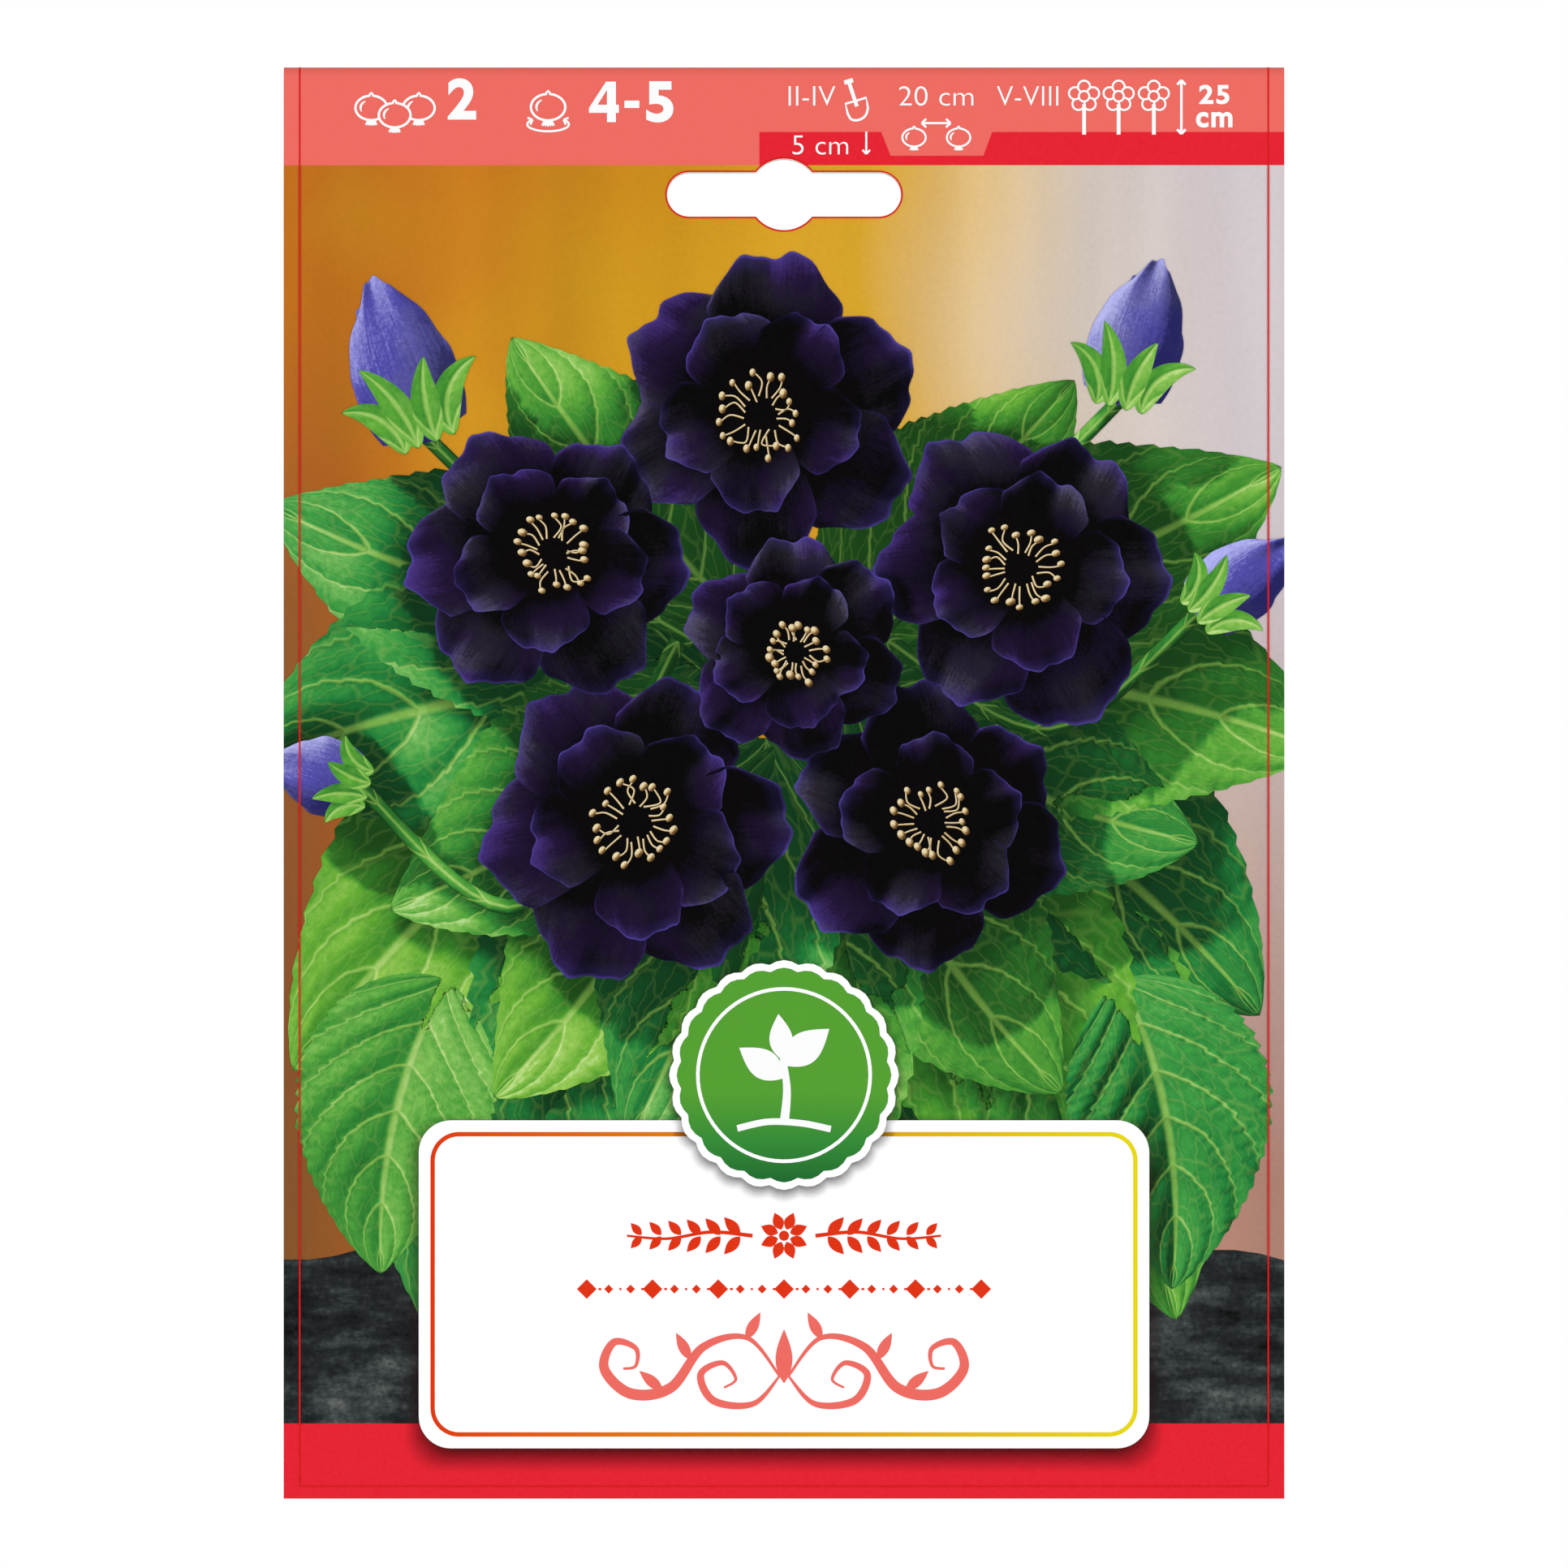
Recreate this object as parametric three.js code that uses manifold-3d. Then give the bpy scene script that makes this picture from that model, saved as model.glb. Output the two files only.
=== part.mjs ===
// A hanging retail packet for two flower tubers, in millimetres, +Z up, printed face towards -Y.
// One sheet of board is folded over at the top edge. Its short flap holds the flat header of a clear film
// bag against the back of the picture panel, between two strips of adhesive. Inside the bag the tubers sit
// side by side in wood shavings. A euro slot is punched through both layers of the board, above the bag.
// The origin is the crown of that slot, where a display peg carries the packet, midway between panel and
// flap.
import * as THREE from "three";
import { mergeVertices } from "three/addons/utils/BufferGeometryUtils.js";
import Module from "manifold-3d";

const wasm = await Module();
wasm.setup();

// ---- driving dimensions ----
const CARD_WIDTH = 137;
const CARD_HEIGHT = 196;
const BOARD = 0.45; // thickness of the board
const FOLD_GAP = 1.5; // clear space between the panel and the flap
const FLAP_LENGTH = 58;
const SLOT_WIDTH = 32; // the euro slot, end to end
const SLOT_HEIGHT = 6;
const SLOT_HUMP_DIAMETER = 9.7;
const CROWN_TO_FOLD = 12.6; // from the slot's crown up to the folded edge

const FILM = 0.4; // stands in for a real film of 0.05
const WELD_WIDTH = 3; // side weld of the bag
const WELD_FILLET = 0.3; // how far the film is thicker beside a weld
const BAG_TOP = -14;
const BAG_BODY_TOP = -48; // below this the bag opens out of its flat header
const BAG_WELD_TOP = -174.5; // upper edge of the bottom weld
const BAG_BOTTOM = -180.5;
const BAG_HALF_WIDTH = 58;
const BAG_WAIST = 2.6; // how far the full bag pulls its sides in
const WELD_DEPTH = 12.5; // how far behind the header the welds stand where the bag is full
const ROUNDING = 26; // height over which the full bag closes to its bottom weld
const BAG_FULL = -122; // height at which the welds have reached their depth
const SLACK_DEPTH = 5; // depth of the empty upper part of the bag
const SLACK_FULL = -76; // height at which that depth is reached
const FILL_DEPTH = 17; // what the packing adds to it
const FILL_RISE = [-82, -128]; // heights over which the packing adds it
const WELD_EASE = 5; // distance from a weld over which the film stays clear of the tubers
const DRAPE = 2.8; // how far the film stands off a tuber, over its lumps
const DRAPE_SOFTNESS = 2.4;
const DRAPE_RISE = [-88, -108]; // heights over which the film starts to follow the tubers
const VENT_DIAMETER = 5;
const VENT_ROWS = [-66, -86];
const VENT_COLUMNS = [-30, 0, 30];

const STRIP = { width: 112, height: 14, thickness: 0.25, top: -20 };
const CLEARANCE = 0.05; // between flat faces that lie on each other
const GAP = 0.35; // between curved pieces that touch

// crown is 1 where the hollow side faces backwards, and -1 where it faces the card.
const TUBERS = [
  { name: "tuber_left", radius: 23, depth: 25, at: [-24.3, 15.6, -146], turn: 0.4, tilt: 0.12, crown: 1 },
  { name: "tuber_right", radius: 22, depth: 24, at: [24, 15.4, -145], turn: 2.1, tilt: -0.1, crown: -1 },
];
const CROWN_HOLLOW = { depth: 5.2, reach: 0.42 }; // reach as a share of the tuber's radius
const CROWN_BUDS = { count: 5, height: 2.6, ring: 0.34, width: 0.12 };
const STUBS = { count: 14, radius: 0.9, length: 3.4, sunk: 2.2 }; // stubs of old roots on each tuber

const SHAVINGS = { count: 44, width: 96, top: -106, bottom: -168, back: 19, inset: 1.6, seed: 5 };

const FRONT_FACE = -(BOARD + FOLD_GAP / 2);
const CARD_TOP = CROWN_TO_FOLD;
const CARD_BOTTOM = CROWN_TO_FOLD - CARD_HEIGHT;
const HEADER_FRONT = -FILM; // the flat header is two films thick, in the middle of the fold gap

// ---- small tools ----
// A seeded generator of numbers from 0 to 1, so that every build gives the same packet.
function randomFrom(seed) {
  let state = seed >>> 0;
  return () => {
    state = (state + 0x6d2b79f5) >>> 0;
    let mixed = Math.imul(state ^ (state >>> 15), 1 | state);
    mixed = (mixed + Math.imul(mixed ^ (mixed >>> 7), 61 | mixed)) ^ mixed;
    return ((mixed ^ (mixed >>> 14)) >>> 0) / 4294967296;
  };
}

const clamp = (value, low, high) => Math.min(high, Math.max(low, value));

// Evenly spaced values from low to high, both included.
function span(count, low, high) {
  return Array.from({ length: count + 1 }, (_, i) => low + ((high - low) * i) / count);
}

// 0 at low, 1 at high, and smooth between; low may be the greater of the two.
function smoothstep(low, high, value) {
  const t = clamp((value - low) / (high - low), 0, 1);
  return t * t * (3 - 2 * t);
}

// The larger of two values, with their crossing rounded over about `soft`.
const smoothMax = (a, b, soft) => (a + b + Math.sqrt((a - b) ** 2 + soft ** 2)) / 2;

// A three.js geometry as a solid; points nearer than `weld` become one.
function solidOf(geometry, weld = 1e-4) {
  const bare = geometry.index ? geometry.toNonIndexed() : geometry.clone();
  bare.deleteAttribute("normal");
  bare.deleteAttribute("uv");
  const merged = mergeVertices(bare, weld);
  return new wasm.Manifold(
    new wasm.Mesh({
      numProp: 3,
      vertProperties: merged.attributes.position.array,
      triVerts: new Uint32Array(merged.index.array),
    }),
  );
}

function geometryOf(solid) {
  const mesh = solid.getMesh();
  const geometry = new THREE.BufferGeometry();
  geometry.setAttribute("position", new THREE.BufferAttribute(mesh.vertProperties, 3));
  geometry.setIndex(new THREE.BufferAttribute(mesh.triVerts, 1));
  geometry.computeVertexNormals();
  return geometry;
}

// The largest body of a solid: scraps and sealed pockets that a cut leaves are dropped, and points that it
// leaves almost together become one.
function largestBody(solid) {
  const larger = (best, body) => (body.volume() > best.volume() ? body : best);
  const largest = (whole) => whole.decompose().reduce(larger);
  return largest(solidOf(geometryOf(largest(solid)), 1e-3));
}

// A closed geometry from a grid of points: rows from one pole to the other, columns round the piece.
function closedRings(rings, startPole, endPole) {
  const columns = rings[0].length;
  const points = [startPole, ...rings.flat(), endPole];
  const last = points.length - 1;
  const index = [];
  const at = (row, column) => 1 + row * columns + (column % columns);
  for (let c = 0; c < columns; c++) {
    index.push(0, at(0, c + 1), at(0, c));
    index.push(last, at(rings.length - 1, c), at(rings.length - 1, c + 1));
    for (let r = 0; r + 1 < rings.length; r++) {
      index.push(at(r, c), at(r, c + 1), at(r + 1, c));
      index.push(at(r, c + 1), at(r + 1, c + 1), at(r + 1, c));
    }
  }
  const geometry = new THREE.BufferGeometry();
  geometry.setAttribute("position", new THREE.Float32BufferAttribute(points.flat(), 3));
  geometry.setIndex(index);
  return geometry;
}

// A closed geometry from a grid of places [x, z, front y, back y].
function closedPillow(grid) {
  const wide = grid[0].length;
  const half = grid.length * wide;
  const places = grid.flat();
  const fronts = places.map(([x, z, front]) => [x, front, z]);
  const backs = places.map(([x, z, , back]) => [x, back, z]);
  const points = [...fronts, ...backs];
  const index = [];
  const quad = (a, b, c, d) => index.push(a, b, c, a, c, d);
  const at = (row, column) => row * wide + column;
  for (let r = 0; r + 1 < grid.length; r++) {
    for (let c = 0; c + 1 < wide; c++) {
      quad(at(r, c), at(r + 1, c), at(r + 1, c + 1), at(r, c + 1));
      quad(half + at(r, c), half + at(r, c + 1), half + at(r + 1, c + 1), half + at(r + 1, c));
    }
    const right = wide - 1;
    quad(at(r, 0), half + at(r, 0), half + at(r + 1, 0), at(r + 1, 0));
    quad(at(r, right), at(r + 1, right), half + at(r + 1, right), half + at(r, right));
  }
  const bottom = grid.length - 1;
  for (let c = 0; c + 1 < wide; c++) {
    quad(at(0, c), at(0, c + 1), half + at(0, c + 1), half + at(0, c));
    quad(at(bottom, c), half + at(bottom, c), half + at(bottom, c + 1), at(bottom, c + 1));
  }
  const geometry = new THREE.BufferGeometry();
  geometry.setAttribute("position", new THREE.Float32BufferAttribute(points.flat(), 3));
  geometry.setIndex(index);
  return geometry;
}

// ---- the card ----
function euroSlotOutline() {
  const middle = -SLOT_HUMP_DIAMETER / 2;
  const hump = SLOT_HUMP_DIAMETER / 2;
  const end = SLOT_HEIGHT / 2;
  const reach = SLOT_WIDTH / 2 - end;
  const meet = Math.asin(end / hump);
  const outline = new THREE.Shape();
  outline.absarc(reach, middle, end, -Math.PI / 2, Math.PI / 2, false);
  outline.absarc(0, middle, hump, meet, Math.PI - meet, false);
  outline.absarc(-reach, middle, end, Math.PI / 2, (3 * Math.PI) / 2, false);
  outline.absarc(0, middle, hump, Math.PI + meet, 2 * Math.PI - meet, false);
  outline.closePath();
  return outline;
}

// The side view of the folded sheet: panel, round fold, flap.
function cardProfile() {
  const foldCentre = CARD_TOP + FRONT_FACE;
  const inner = FOLD_GAP / 2;
  const profile = new THREE.Shape();
  profile.moveTo(FRONT_FACE, CARD_BOTTOM);
  profile.lineTo(-inner, CARD_BOTTOM);
  profile.lineTo(-inner, foldCentre);
  profile.absarc(0, foldCentre, inner, Math.PI, 0, true);
  profile.lineTo(inner, CARD_TOP - FLAP_LENGTH);
  profile.lineTo(-FRONT_FACE, CARD_TOP - FLAP_LENGTH);
  profile.lineTo(-FRONT_FACE, foldCentre);
  profile.absarc(0, foldCentre, -FRONT_FACE, 0, Math.PI, false);
  profile.closePath();
  return profile;
}

function card() {
  const sheet = new THREE.ExtrudeGeometry(cardProfile(), {
    depth: CARD_WIDTH,
    bevelEnabled: false,
    curveSegments: 8,
  });
  const profileToPart = new THREE.Matrix4().makeBasis(
    new THREE.Vector3(0, 1, 0),
    new THREE.Vector3(0, 0, 1),
    new THREE.Vector3(1, 0, 0),
  );
  sheet.applyMatrix4(profileToPart).translate(-CARD_WIDTH / 2, 0, 0);
  const punchDepth = 8;
  const punch = new THREE.ExtrudeGeometry(euroSlotOutline(), {
    depth: punchDepth,
    bevelEnabled: false,
    curveSegments: 10,
  });
  punch.rotateX(Math.PI / 2).translate(0, punchDepth / 2, 0);
  return geometryOf(solidOf(sheet).subtract(solidOf(punch)));
}

// ---- the bag ----
// Half width of the bag at a height: full at the header and at the bottom weld, drawn in where it is full.
function bagHalfWidth(z) {
  const share = clamp((BAG_BODY_TOP - z) / (BAG_BODY_TOP - BAG_BOTTOM), 0, 1);
  return BAG_HALF_WIDTH - BAG_WAIST * Math.sin(Math.PI * share ** 1.3) ** 2;
}

// 0 in the header, 1 where the bag is full.
const fullness = (z) => smoothstep(BAG_BODY_TOP, BAG_FULL, z);

// 0 well above the bottom weld, 1 at the weld.
function closing(z) {
  return 1 - clamp((z - BAG_WELD_TOP) / ROUNDING, 0, 1);
}

// The inner face of the film nearest the card. It lies flat on the card and leaves it towards the welds.
function innerFront(x, z) {
  const sideways = fullness(z) * clamp(Math.abs(x) / bagHalfWidth(z), 0, 1) ** 5;
  const downwards = closing(z) ** 2.5;
  return HEADER_FRONT + FILM + WELD_DEPTH * (1 - (1 - sideways) * (1 - downwards));
}

// Depth of the space inside the bag with its packing, before the tubers push the back film out.
function packedDepth(x, z) {
  const clear = bagHalfWidth(z) - WELD_WIDTH;
  const across = Math.sqrt(1 - clamp(Math.abs(x) / clear, 0, 1) ** 2.6);
  const below = Math.sqrt(1 - closing(z) ** 2.2);
  const slack = SLACK_DEPTH * smoothstep(BAG_BODY_TOP, SLACK_FULL, z);
  const fill = FILL_DEPTH * smoothstep(...FILL_RISE, z);
  return (slack + fill) * across * below;
}

// How far back a tuber reaches at (x, z): a dome that runs on as a cone past its rim, grown by `extra`.
function tuberBack(tuber, x, z, extra) {
  const rim = 0.93;
  const reach = Math.hypot(x - tuber.at[0], z - tuber.at[2]) / (tuber.radius + extra);
  const edge = Math.sqrt(1 - rim ** 2);
  const dome = reach < rim ? Math.sqrt(1 - reach ** 2) : edge - (rim / edge) * (reach - rim);
  return tuber.at[1] + (tuber.depth / 2 + extra) * dome;
}

// The inner face of the back film: the packing's pillow, drawn over the tubers, and closed at the welds.
function innerBack(x, z) {
  const front = innerFront(x, z);
  const clear = bagHalfWidth(z) - WELD_WIDTH;
  const pillow = front + packedDepth(x, z);
  let drawn = pillow;
  for (const tuber of TUBERS) {
    drawn = smoothMax(drawn, tuberBack(tuber, x, z, DRAPE), DRAPE_SOFTNESS);
  }
  const besideWeld = smoothstep(0, WELD_EASE, clear - Math.abs(x));
  const aboveWeld = smoothstep(0, WELD_EASE, z - BAG_WELD_TOP);
  return pillow + (drawn - pillow) * besideWeld * aboveWeld * smoothstep(...DRAPE_RISE, z);
}

// Columns across the clear width, closer together towards the welds, and rows down the body of the bag.
const ACROSS = span(18, -1, 1).map((u) => Math.sin(u * 1.43) / Math.sin(1.43));
const DOWN = span(22, BAG_BODY_TOP, BAG_WELD_TOP);

// The space inside the bag, taken in on every side by `inset`, as a closed solid.
function bagSpace(inset) {
  const thin = 0.02;
  const narrowing = WELD_FILLET + inset;
  const lift = narrowing / (BAG_BODY_TOP - BAG_WELD_TOP);
  const grid = DOWN.map((z) => {
    const clear = bagHalfWidth(z) - WELD_WIDTH;
    return ACROSS.map((u) => {
      const front = innerFront(u * clear, z);
      const back = innerBack(u * clear, z);
      const middle = (front + back) / 2;
      const y = [Math.min(front + inset, middle - thin), Math.max(back - inset, middle + thin)];
      return [u * (clear - narrowing), z + lift * (BAG_BODY_TOP - z), ...y];
    });
  });
  return solidOf(closedPillow(grid));
}

function bagOutside() {
  const heights = [BAG_TOP, ...DOWN, BAG_BOTTOM];
  const grid = heights.map((z) => {
    const edge = bagHalfWidth(z);
    const xs = [-edge, ...ACROSS.map((u) => u * (edge - WELD_WIDTH)), edge];
    return xs.map((x) => [x, z, innerFront(x, z) - FILM, innerBack(x, z) + FILM]);
  });
  return solidOf(closedPillow(grid));
}

function vent(x, z) {
  const punch = new THREE.CylinderGeometry(VENT_DIAMETER / 2, VENT_DIAMETER / 2, 40, 12);
  return solidOf(punch.translate(x, 0, z));
}

function filmBag() {
  let bag = bagOutside().subtract(bagSpace(0));
  for (const z of VENT_ROWS) {
    for (const x of VENT_COLUMNS) {
      bag = bag.subtract(vent(x, z));
    }
  }
  return geometryOf(largestBody(bag));
}

// ---- the adhesive strips ----
function adhesiveStrip(y) {
  const strip = new THREE.BoxGeometry(STRIP.width, STRIP.thickness, STRIP.height);
  return strip.translate(0, y, STRIP.top - STRIP.height / 2);
}

// ---- the tubers ----
// Radius of a tuber in a direction: a flattened round body with lumps and a hollow crown with buds round it.
function tuberPoint(tuber, latitude, longitude, extra) {
  const lumps =
    0.045 * Math.sin(3 * longitude + tuber.turn) * Math.cos(latitude) +
    0.03 * Math.sin(5 * longitude - tuber.turn + 4 * latitude) * Math.cos(latitude) +
    0.02 * Math.sin(9 * longitude + 6 * latitude + tuber.turn);
  const radius = tuber.radius * (0.96 + lumps) * Math.cos(latitude) ** 0.86;
  const inward = radius / tuber.radius;
  const onCrown = latitude > 0 ? 1 : 0;
  const hollow = onCrown * CROWN_HOLLOW.depth * Math.exp(-((inward / CROWN_HOLLOW.reach) ** 2));
  const offRing = (inward - CROWN_BUDS.ring) / CROWN_BUDS.width;
  const eachBud = Math.abs(Math.cos((CROWN_BUDS.count / 2) * longitude)) ** 3;
  const bud = onCrown * CROWN_BUDS.height * Math.exp(-(offRing ** 2)) * eachBud;
  const grown = 1 + extra / tuber.radius;
  const lift = (tuber.depth / 2 + extra) * Math.sin(latitude) - hollow + bud;
  return [radius * grown * Math.cos(longitude), radius * grown * Math.sin(longitude), lift];
}

function tuberBody(tuber, extra) {
  const rings = span(16, -Math.PI / 2, Math.PI / 2)
    .slice(1, -1)
    .map((latitude) =>
      span(28, 0, 2 * Math.PI)
        .slice(0, -1)
        .map((longitude) => tuberPoint(tuber, latitude, longitude, extra)),
    );
  const low = tuberPoint(tuber, -Math.PI / 2, 0, extra);
  const high = tuberPoint(tuber, Math.PI / 2, 0, extra);
  return solidOf(closedRings(rings, low, high));
}

// Short stubs of old roots, all round the rim and the underside, each sunk into the body.
function rootStubs(tuber, extra) {
  const random = randomFrom(Math.round(100 * tuber.turn));
  const stubs = [];
  for (let i = 0; i < STUBS.count; i++) {
    const longitude = (i * 2 * Math.PI) / STUBS.count + 0.3 * random();
    const latitude = -0.95 + 0.85 * random();
    const length = STUBS.length + 1.2 * random();
    const base = new THREE.Vector3(...tuberPoint(tuber, latitude, longitude, 0));
    const outward = base.clone().setZ(base.z * 1.3).normalize();
    const stub = new THREE.ConeGeometry(STUBS.radius + extra, length + extra, 4);
    stub.translate(0, length / 2 - STUBS.sunk, 0);
    stub.applyQuaternion(new THREE.Quaternion().setFromUnitVectors(new THREE.Vector3(0, 1, 0), outward));
    stubs.push(solidOf(stub.translate(base.x, base.y, base.z)));
  }
  return stubs;
}

// The tuber's own +Z is its crown; in the packet that points backwards or, for a turned tuber, forwards.
function tuberSolid(tuber, extra) {
  const whole = wasm.Manifold.union([tuberBody(tuber, extra), ...rootStubs(tuber, extra)]);
  const placed = new THREE.Matrix4().makeRotationFromEuler(
    new THREE.Euler(-tuber.crown * (Math.PI / 2 + tuber.tilt), 0, 0),
  );
  placed.multiply(new THREE.Matrix4().makeRotationZ(tuber.turn));
  placed.setPosition(...tuber.at);
  return solidOf(geometryOf(whole).applyMatrix4(placed));
}

// ---- the packing ----
// One curl of a plane: a ribbon bent round an arc, drifting sideways as it turns.
function curl(random) {
  const bend = 3 + 3.5 * random();
  const sweep = 1.8 + 2.4 * random();
  const width = 2.6 + 2.2 * random();
  const pitch = 3 * (random() - 0.5);
  const thickness = 0.8;
  const steps = 4;
  const rings = span(steps, 0, sweep).map((angle) => {
    const along = pitch * (angle / sweep);
    return [
      [bend - thickness / 2, -width / 2],
      [bend - thickness / 2, width / 2],
      [bend + thickness / 2, width / 2],
      [bend + thickness / 2, -width / 2],
    ].map(([r, across]) => [r * Math.cos(angle), r * Math.sin(angle), along + across]);
  });
  const mean = (ring, axis) => ring.reduce((sum, point) => sum + point[axis] / ring.length, 0);
  const centre = (ring) => [0, 1, 2].map((axis) => mean(ring, axis));
  return closedRings(rings, centre(rings[0]), centre(rings[steps]));
}

// A block with a wavy top, lower at its back: what is not loose curls in the heap of shavings.
function heap() {
  const block = new THREE.BoxGeometry(130, 60, 100, 10, 1, 1);
  const places = block.attributes.position;
  for (let i = 0; i < places.count; i++) {
    const atBack = places.getY(i) > 0;
    const lowered = 4 * Math.sin(places.getX(i) / 11) + (atBack ? 9 : 0);
    places.setZ(i, places.getZ(i) > 0 ? SHAVINGS.top - lowered : -200);
    places.setY(i, atBack ? SHAVINGS.back : -10);
  }
  return solidOf(block);
}

function shavings(tuberCuts) {
  const random = randomFrom(SHAVINGS.seed);
  const core = bagSpace(SHAVINGS.inset).intersect(heap());
  const curls = [];
  for (let i = 0; i < SHAVINGS.count; i++) {
    const x = SHAVINGS.width * (random() - 0.5);
    const z = SHAVINGS.bottom + (SHAVINGS.top - SHAVINGS.bottom) * random() ** 0.8;
    const depth = innerBack(x, z) - innerFront(x, z);
    const y = innerFront(x, z) + depth * (0.55 + 0.4 * random());
    const turned = new THREE.Matrix4().makeRotationFromEuler(
      new THREE.Euler(6.28 * random(), 6.28 * random(), 6.28 * random()),
    );
    curls.push(solidOf(curl(random).applyMatrix4(turned).translate(x, y, z)));
  }
  const heaped = wasm.Manifold.union([core, ...curls]).intersect(bagSpace(GAP));
  return geometryOf(largestBody(heaped.subtract(wasm.Manifold.union(tuberCuts))));
}

// ---- the packet ----
const coatedBoard = new THREE.MeshStandardMaterial({ color: 0xee6e62, roughness: 0.4 });
const clearFilm = new THREE.MeshStandardMaterial({ color: 0xf4f7f8, roughness: 0.12, opacity: 0.25 });
clearFilm.transparent = true;
const adhesive = new THREE.MeshStandardMaterial({ color: 0xe8e4d4, roughness: 0.5 });
const tuberSkin = new THREE.MeshStandardMaterial({ color: 0x6b4a30, roughness: 0.9 });
const paleWood = new THREE.MeshStandardMaterial({ color: 0xe0c596, roughness: 0.85 });

function piece(name, geometry, material) {
  const mesh = new THREE.Mesh(geometry, material);
  mesh.name = name;
  return mesh;
}

const packet = new THREE.Group();
packet.add(piece("card", card(), coatedBoard));
packet.add(piece("film_bag", filmBag(), clearFilm));
const stripMiddle = FILM + CLEARANCE + STRIP.thickness / 2;
packet.add(piece("adhesive_strip_front", adhesiveStrip(-stripMiddle), adhesive));
packet.add(piece("adhesive_strip_back", adhesiveStrip(stripMiddle), adhesive));
for (const tuber of TUBERS) {
  packet.add(piece(tuber.name, geometryOf(tuberSolid(tuber, 0)), tuberSkin));
}
packet.add(piece("wood_shavings", shavings(TUBERS.map((tuber) => tuberSolid(tuber, GAP))), paleWood));

export default packet;
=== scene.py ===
import math
from collections import namedtuple
from itertools import product

import bmesh
import bpy
import numpy as np
from bpy.props import FloatProperty, FloatVectorProperty, IntProperty, PointerProperty
from bpy.types import Operator, Panel, PropertyGroup
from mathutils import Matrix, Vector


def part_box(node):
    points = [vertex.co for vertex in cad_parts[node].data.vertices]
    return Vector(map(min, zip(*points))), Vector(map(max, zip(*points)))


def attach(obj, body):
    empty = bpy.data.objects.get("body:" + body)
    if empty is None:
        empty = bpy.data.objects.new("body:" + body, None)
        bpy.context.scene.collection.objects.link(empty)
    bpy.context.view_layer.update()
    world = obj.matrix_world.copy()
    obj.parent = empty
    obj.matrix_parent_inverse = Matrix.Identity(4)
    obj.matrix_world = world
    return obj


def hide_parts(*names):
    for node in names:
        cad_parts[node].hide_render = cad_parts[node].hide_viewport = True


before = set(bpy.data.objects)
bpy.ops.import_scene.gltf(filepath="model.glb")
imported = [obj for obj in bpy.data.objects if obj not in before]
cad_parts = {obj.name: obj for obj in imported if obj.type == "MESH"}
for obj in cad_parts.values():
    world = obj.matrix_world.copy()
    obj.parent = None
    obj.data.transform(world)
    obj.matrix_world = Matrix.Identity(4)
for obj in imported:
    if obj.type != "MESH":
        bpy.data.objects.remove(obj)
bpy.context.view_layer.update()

bl_info = {
    "name": "Flower Tuber Packet",
    "version": (1, 0, 0),
    "blender": (4, 5, 0),
    "location": "View3D > Sidebar > Packet",
    "description": "Dresses a hanging packet for flower tubers: print, film bag, tubers, shavings and studio",
    "category": "Object",
}

# Lengths in this file are millimetres in the packet's frame, and become metres as a mesh is made.
MM = 0.001
CARD_LOW, CARD_HIGH = (np.array(corner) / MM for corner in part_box("card"))
BAG_LOW, BAG_HIGH = (np.array(corner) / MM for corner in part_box("film_bag"))
EDGE = float(CARD_HIGH[0])  # half the card's width
TOP, BOTTOM = float(CARD_HIGH[2]), float(CARD_LOW[2])
FACE, FLAP = float(CARD_LOW[1]), float(CARD_HIGH[1])  # printed face of the panel and of the flap
FOLD = TOP + FACE  # where panel and flap pass into the round fold
FLAP_END = -45.4

# The euro slot: a bar with round ends and a round middle. The print stops SLOT_RIM outside its cut.
SLOT_MIDDLE, SLOT_REACH = -4.85, 13.0
SLOT_END, SLOT_HUMP, SLOT_RIM = 3.0, 4.85, 0.06

# Heights that divide the print, from the top down, and the fine trim lines near the edges.
HEADER_BAND_TOP, PICTURE_TOP, PICTURE_BOTTOM = 3.7, -0.84, -173.1
TRIM_INSET, TRIM_FOOT, TRIM_WIDTH = 2.2, 1.7, 0.22

# How far in front of the board each layer of print stands. A layer is a plate INK thick.
INK = 0.006
GROUND, BAND, HEADER_ICON = 0.012, 0.022, 0.045
FLAP_PANEL, FLAP_LINE = 0.032, 0.044
RELIEF_LOW, RELIEF_HIGH = 0.045, 0.15
TRIM, SHADOW, LABEL, LABEL_INK = 0.162, 0.172, 0.186, 0.198
BADGE_RIM, BADGE, BADGE_INK = 0.21, 0.222, 0.234
SIGN_FRONT = FACE - HEADER_ICON


def srgb(code):
    """Linear red, green and blue of a hex colour."""
    values = [int(code[i : i + 2], 16) / 255 for i in (0, 2, 4)]
    return tuple(v / 12.92 if v <= 0.04045 else ((v + 0.055) / 1.055) ** 2.4 for v in values)


def rgba(colour):
    """Four linear values from a hex colour or from three numbers."""
    return (*(srgb(colour) if isinstance(colour, str) else colour), 1.0)


def smoothstep(low, high, value):
    """0 at low, 1 at high, and three squares less two cubes of the share between."""
    share = np.clip((value - low) / (high - low), 0, 1)
    return share * share * (3 - 2 * share)


def joined(*parts):
    """Arrays of like shape side by side along a new last axis."""
    return np.stack(np.broadcast_arrays(*parts), axis=-1)


def unit(vectors):
    return vectors / np.maximum(np.linalg.norm(vectors, axis=-1, keepdims=True), 1e-9)


def spin(points, a, b, angle):
    """Points turned by an angle in radians in the plane of their axes a and b."""
    points, p, q = np.array(points), points[..., a], points[..., b]
    points[..., a] = p * math.cos(angle) - q * math.sin(angle)
    points[..., b] = p * math.sin(angle) + q * math.cos(angle)
    return points


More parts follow.
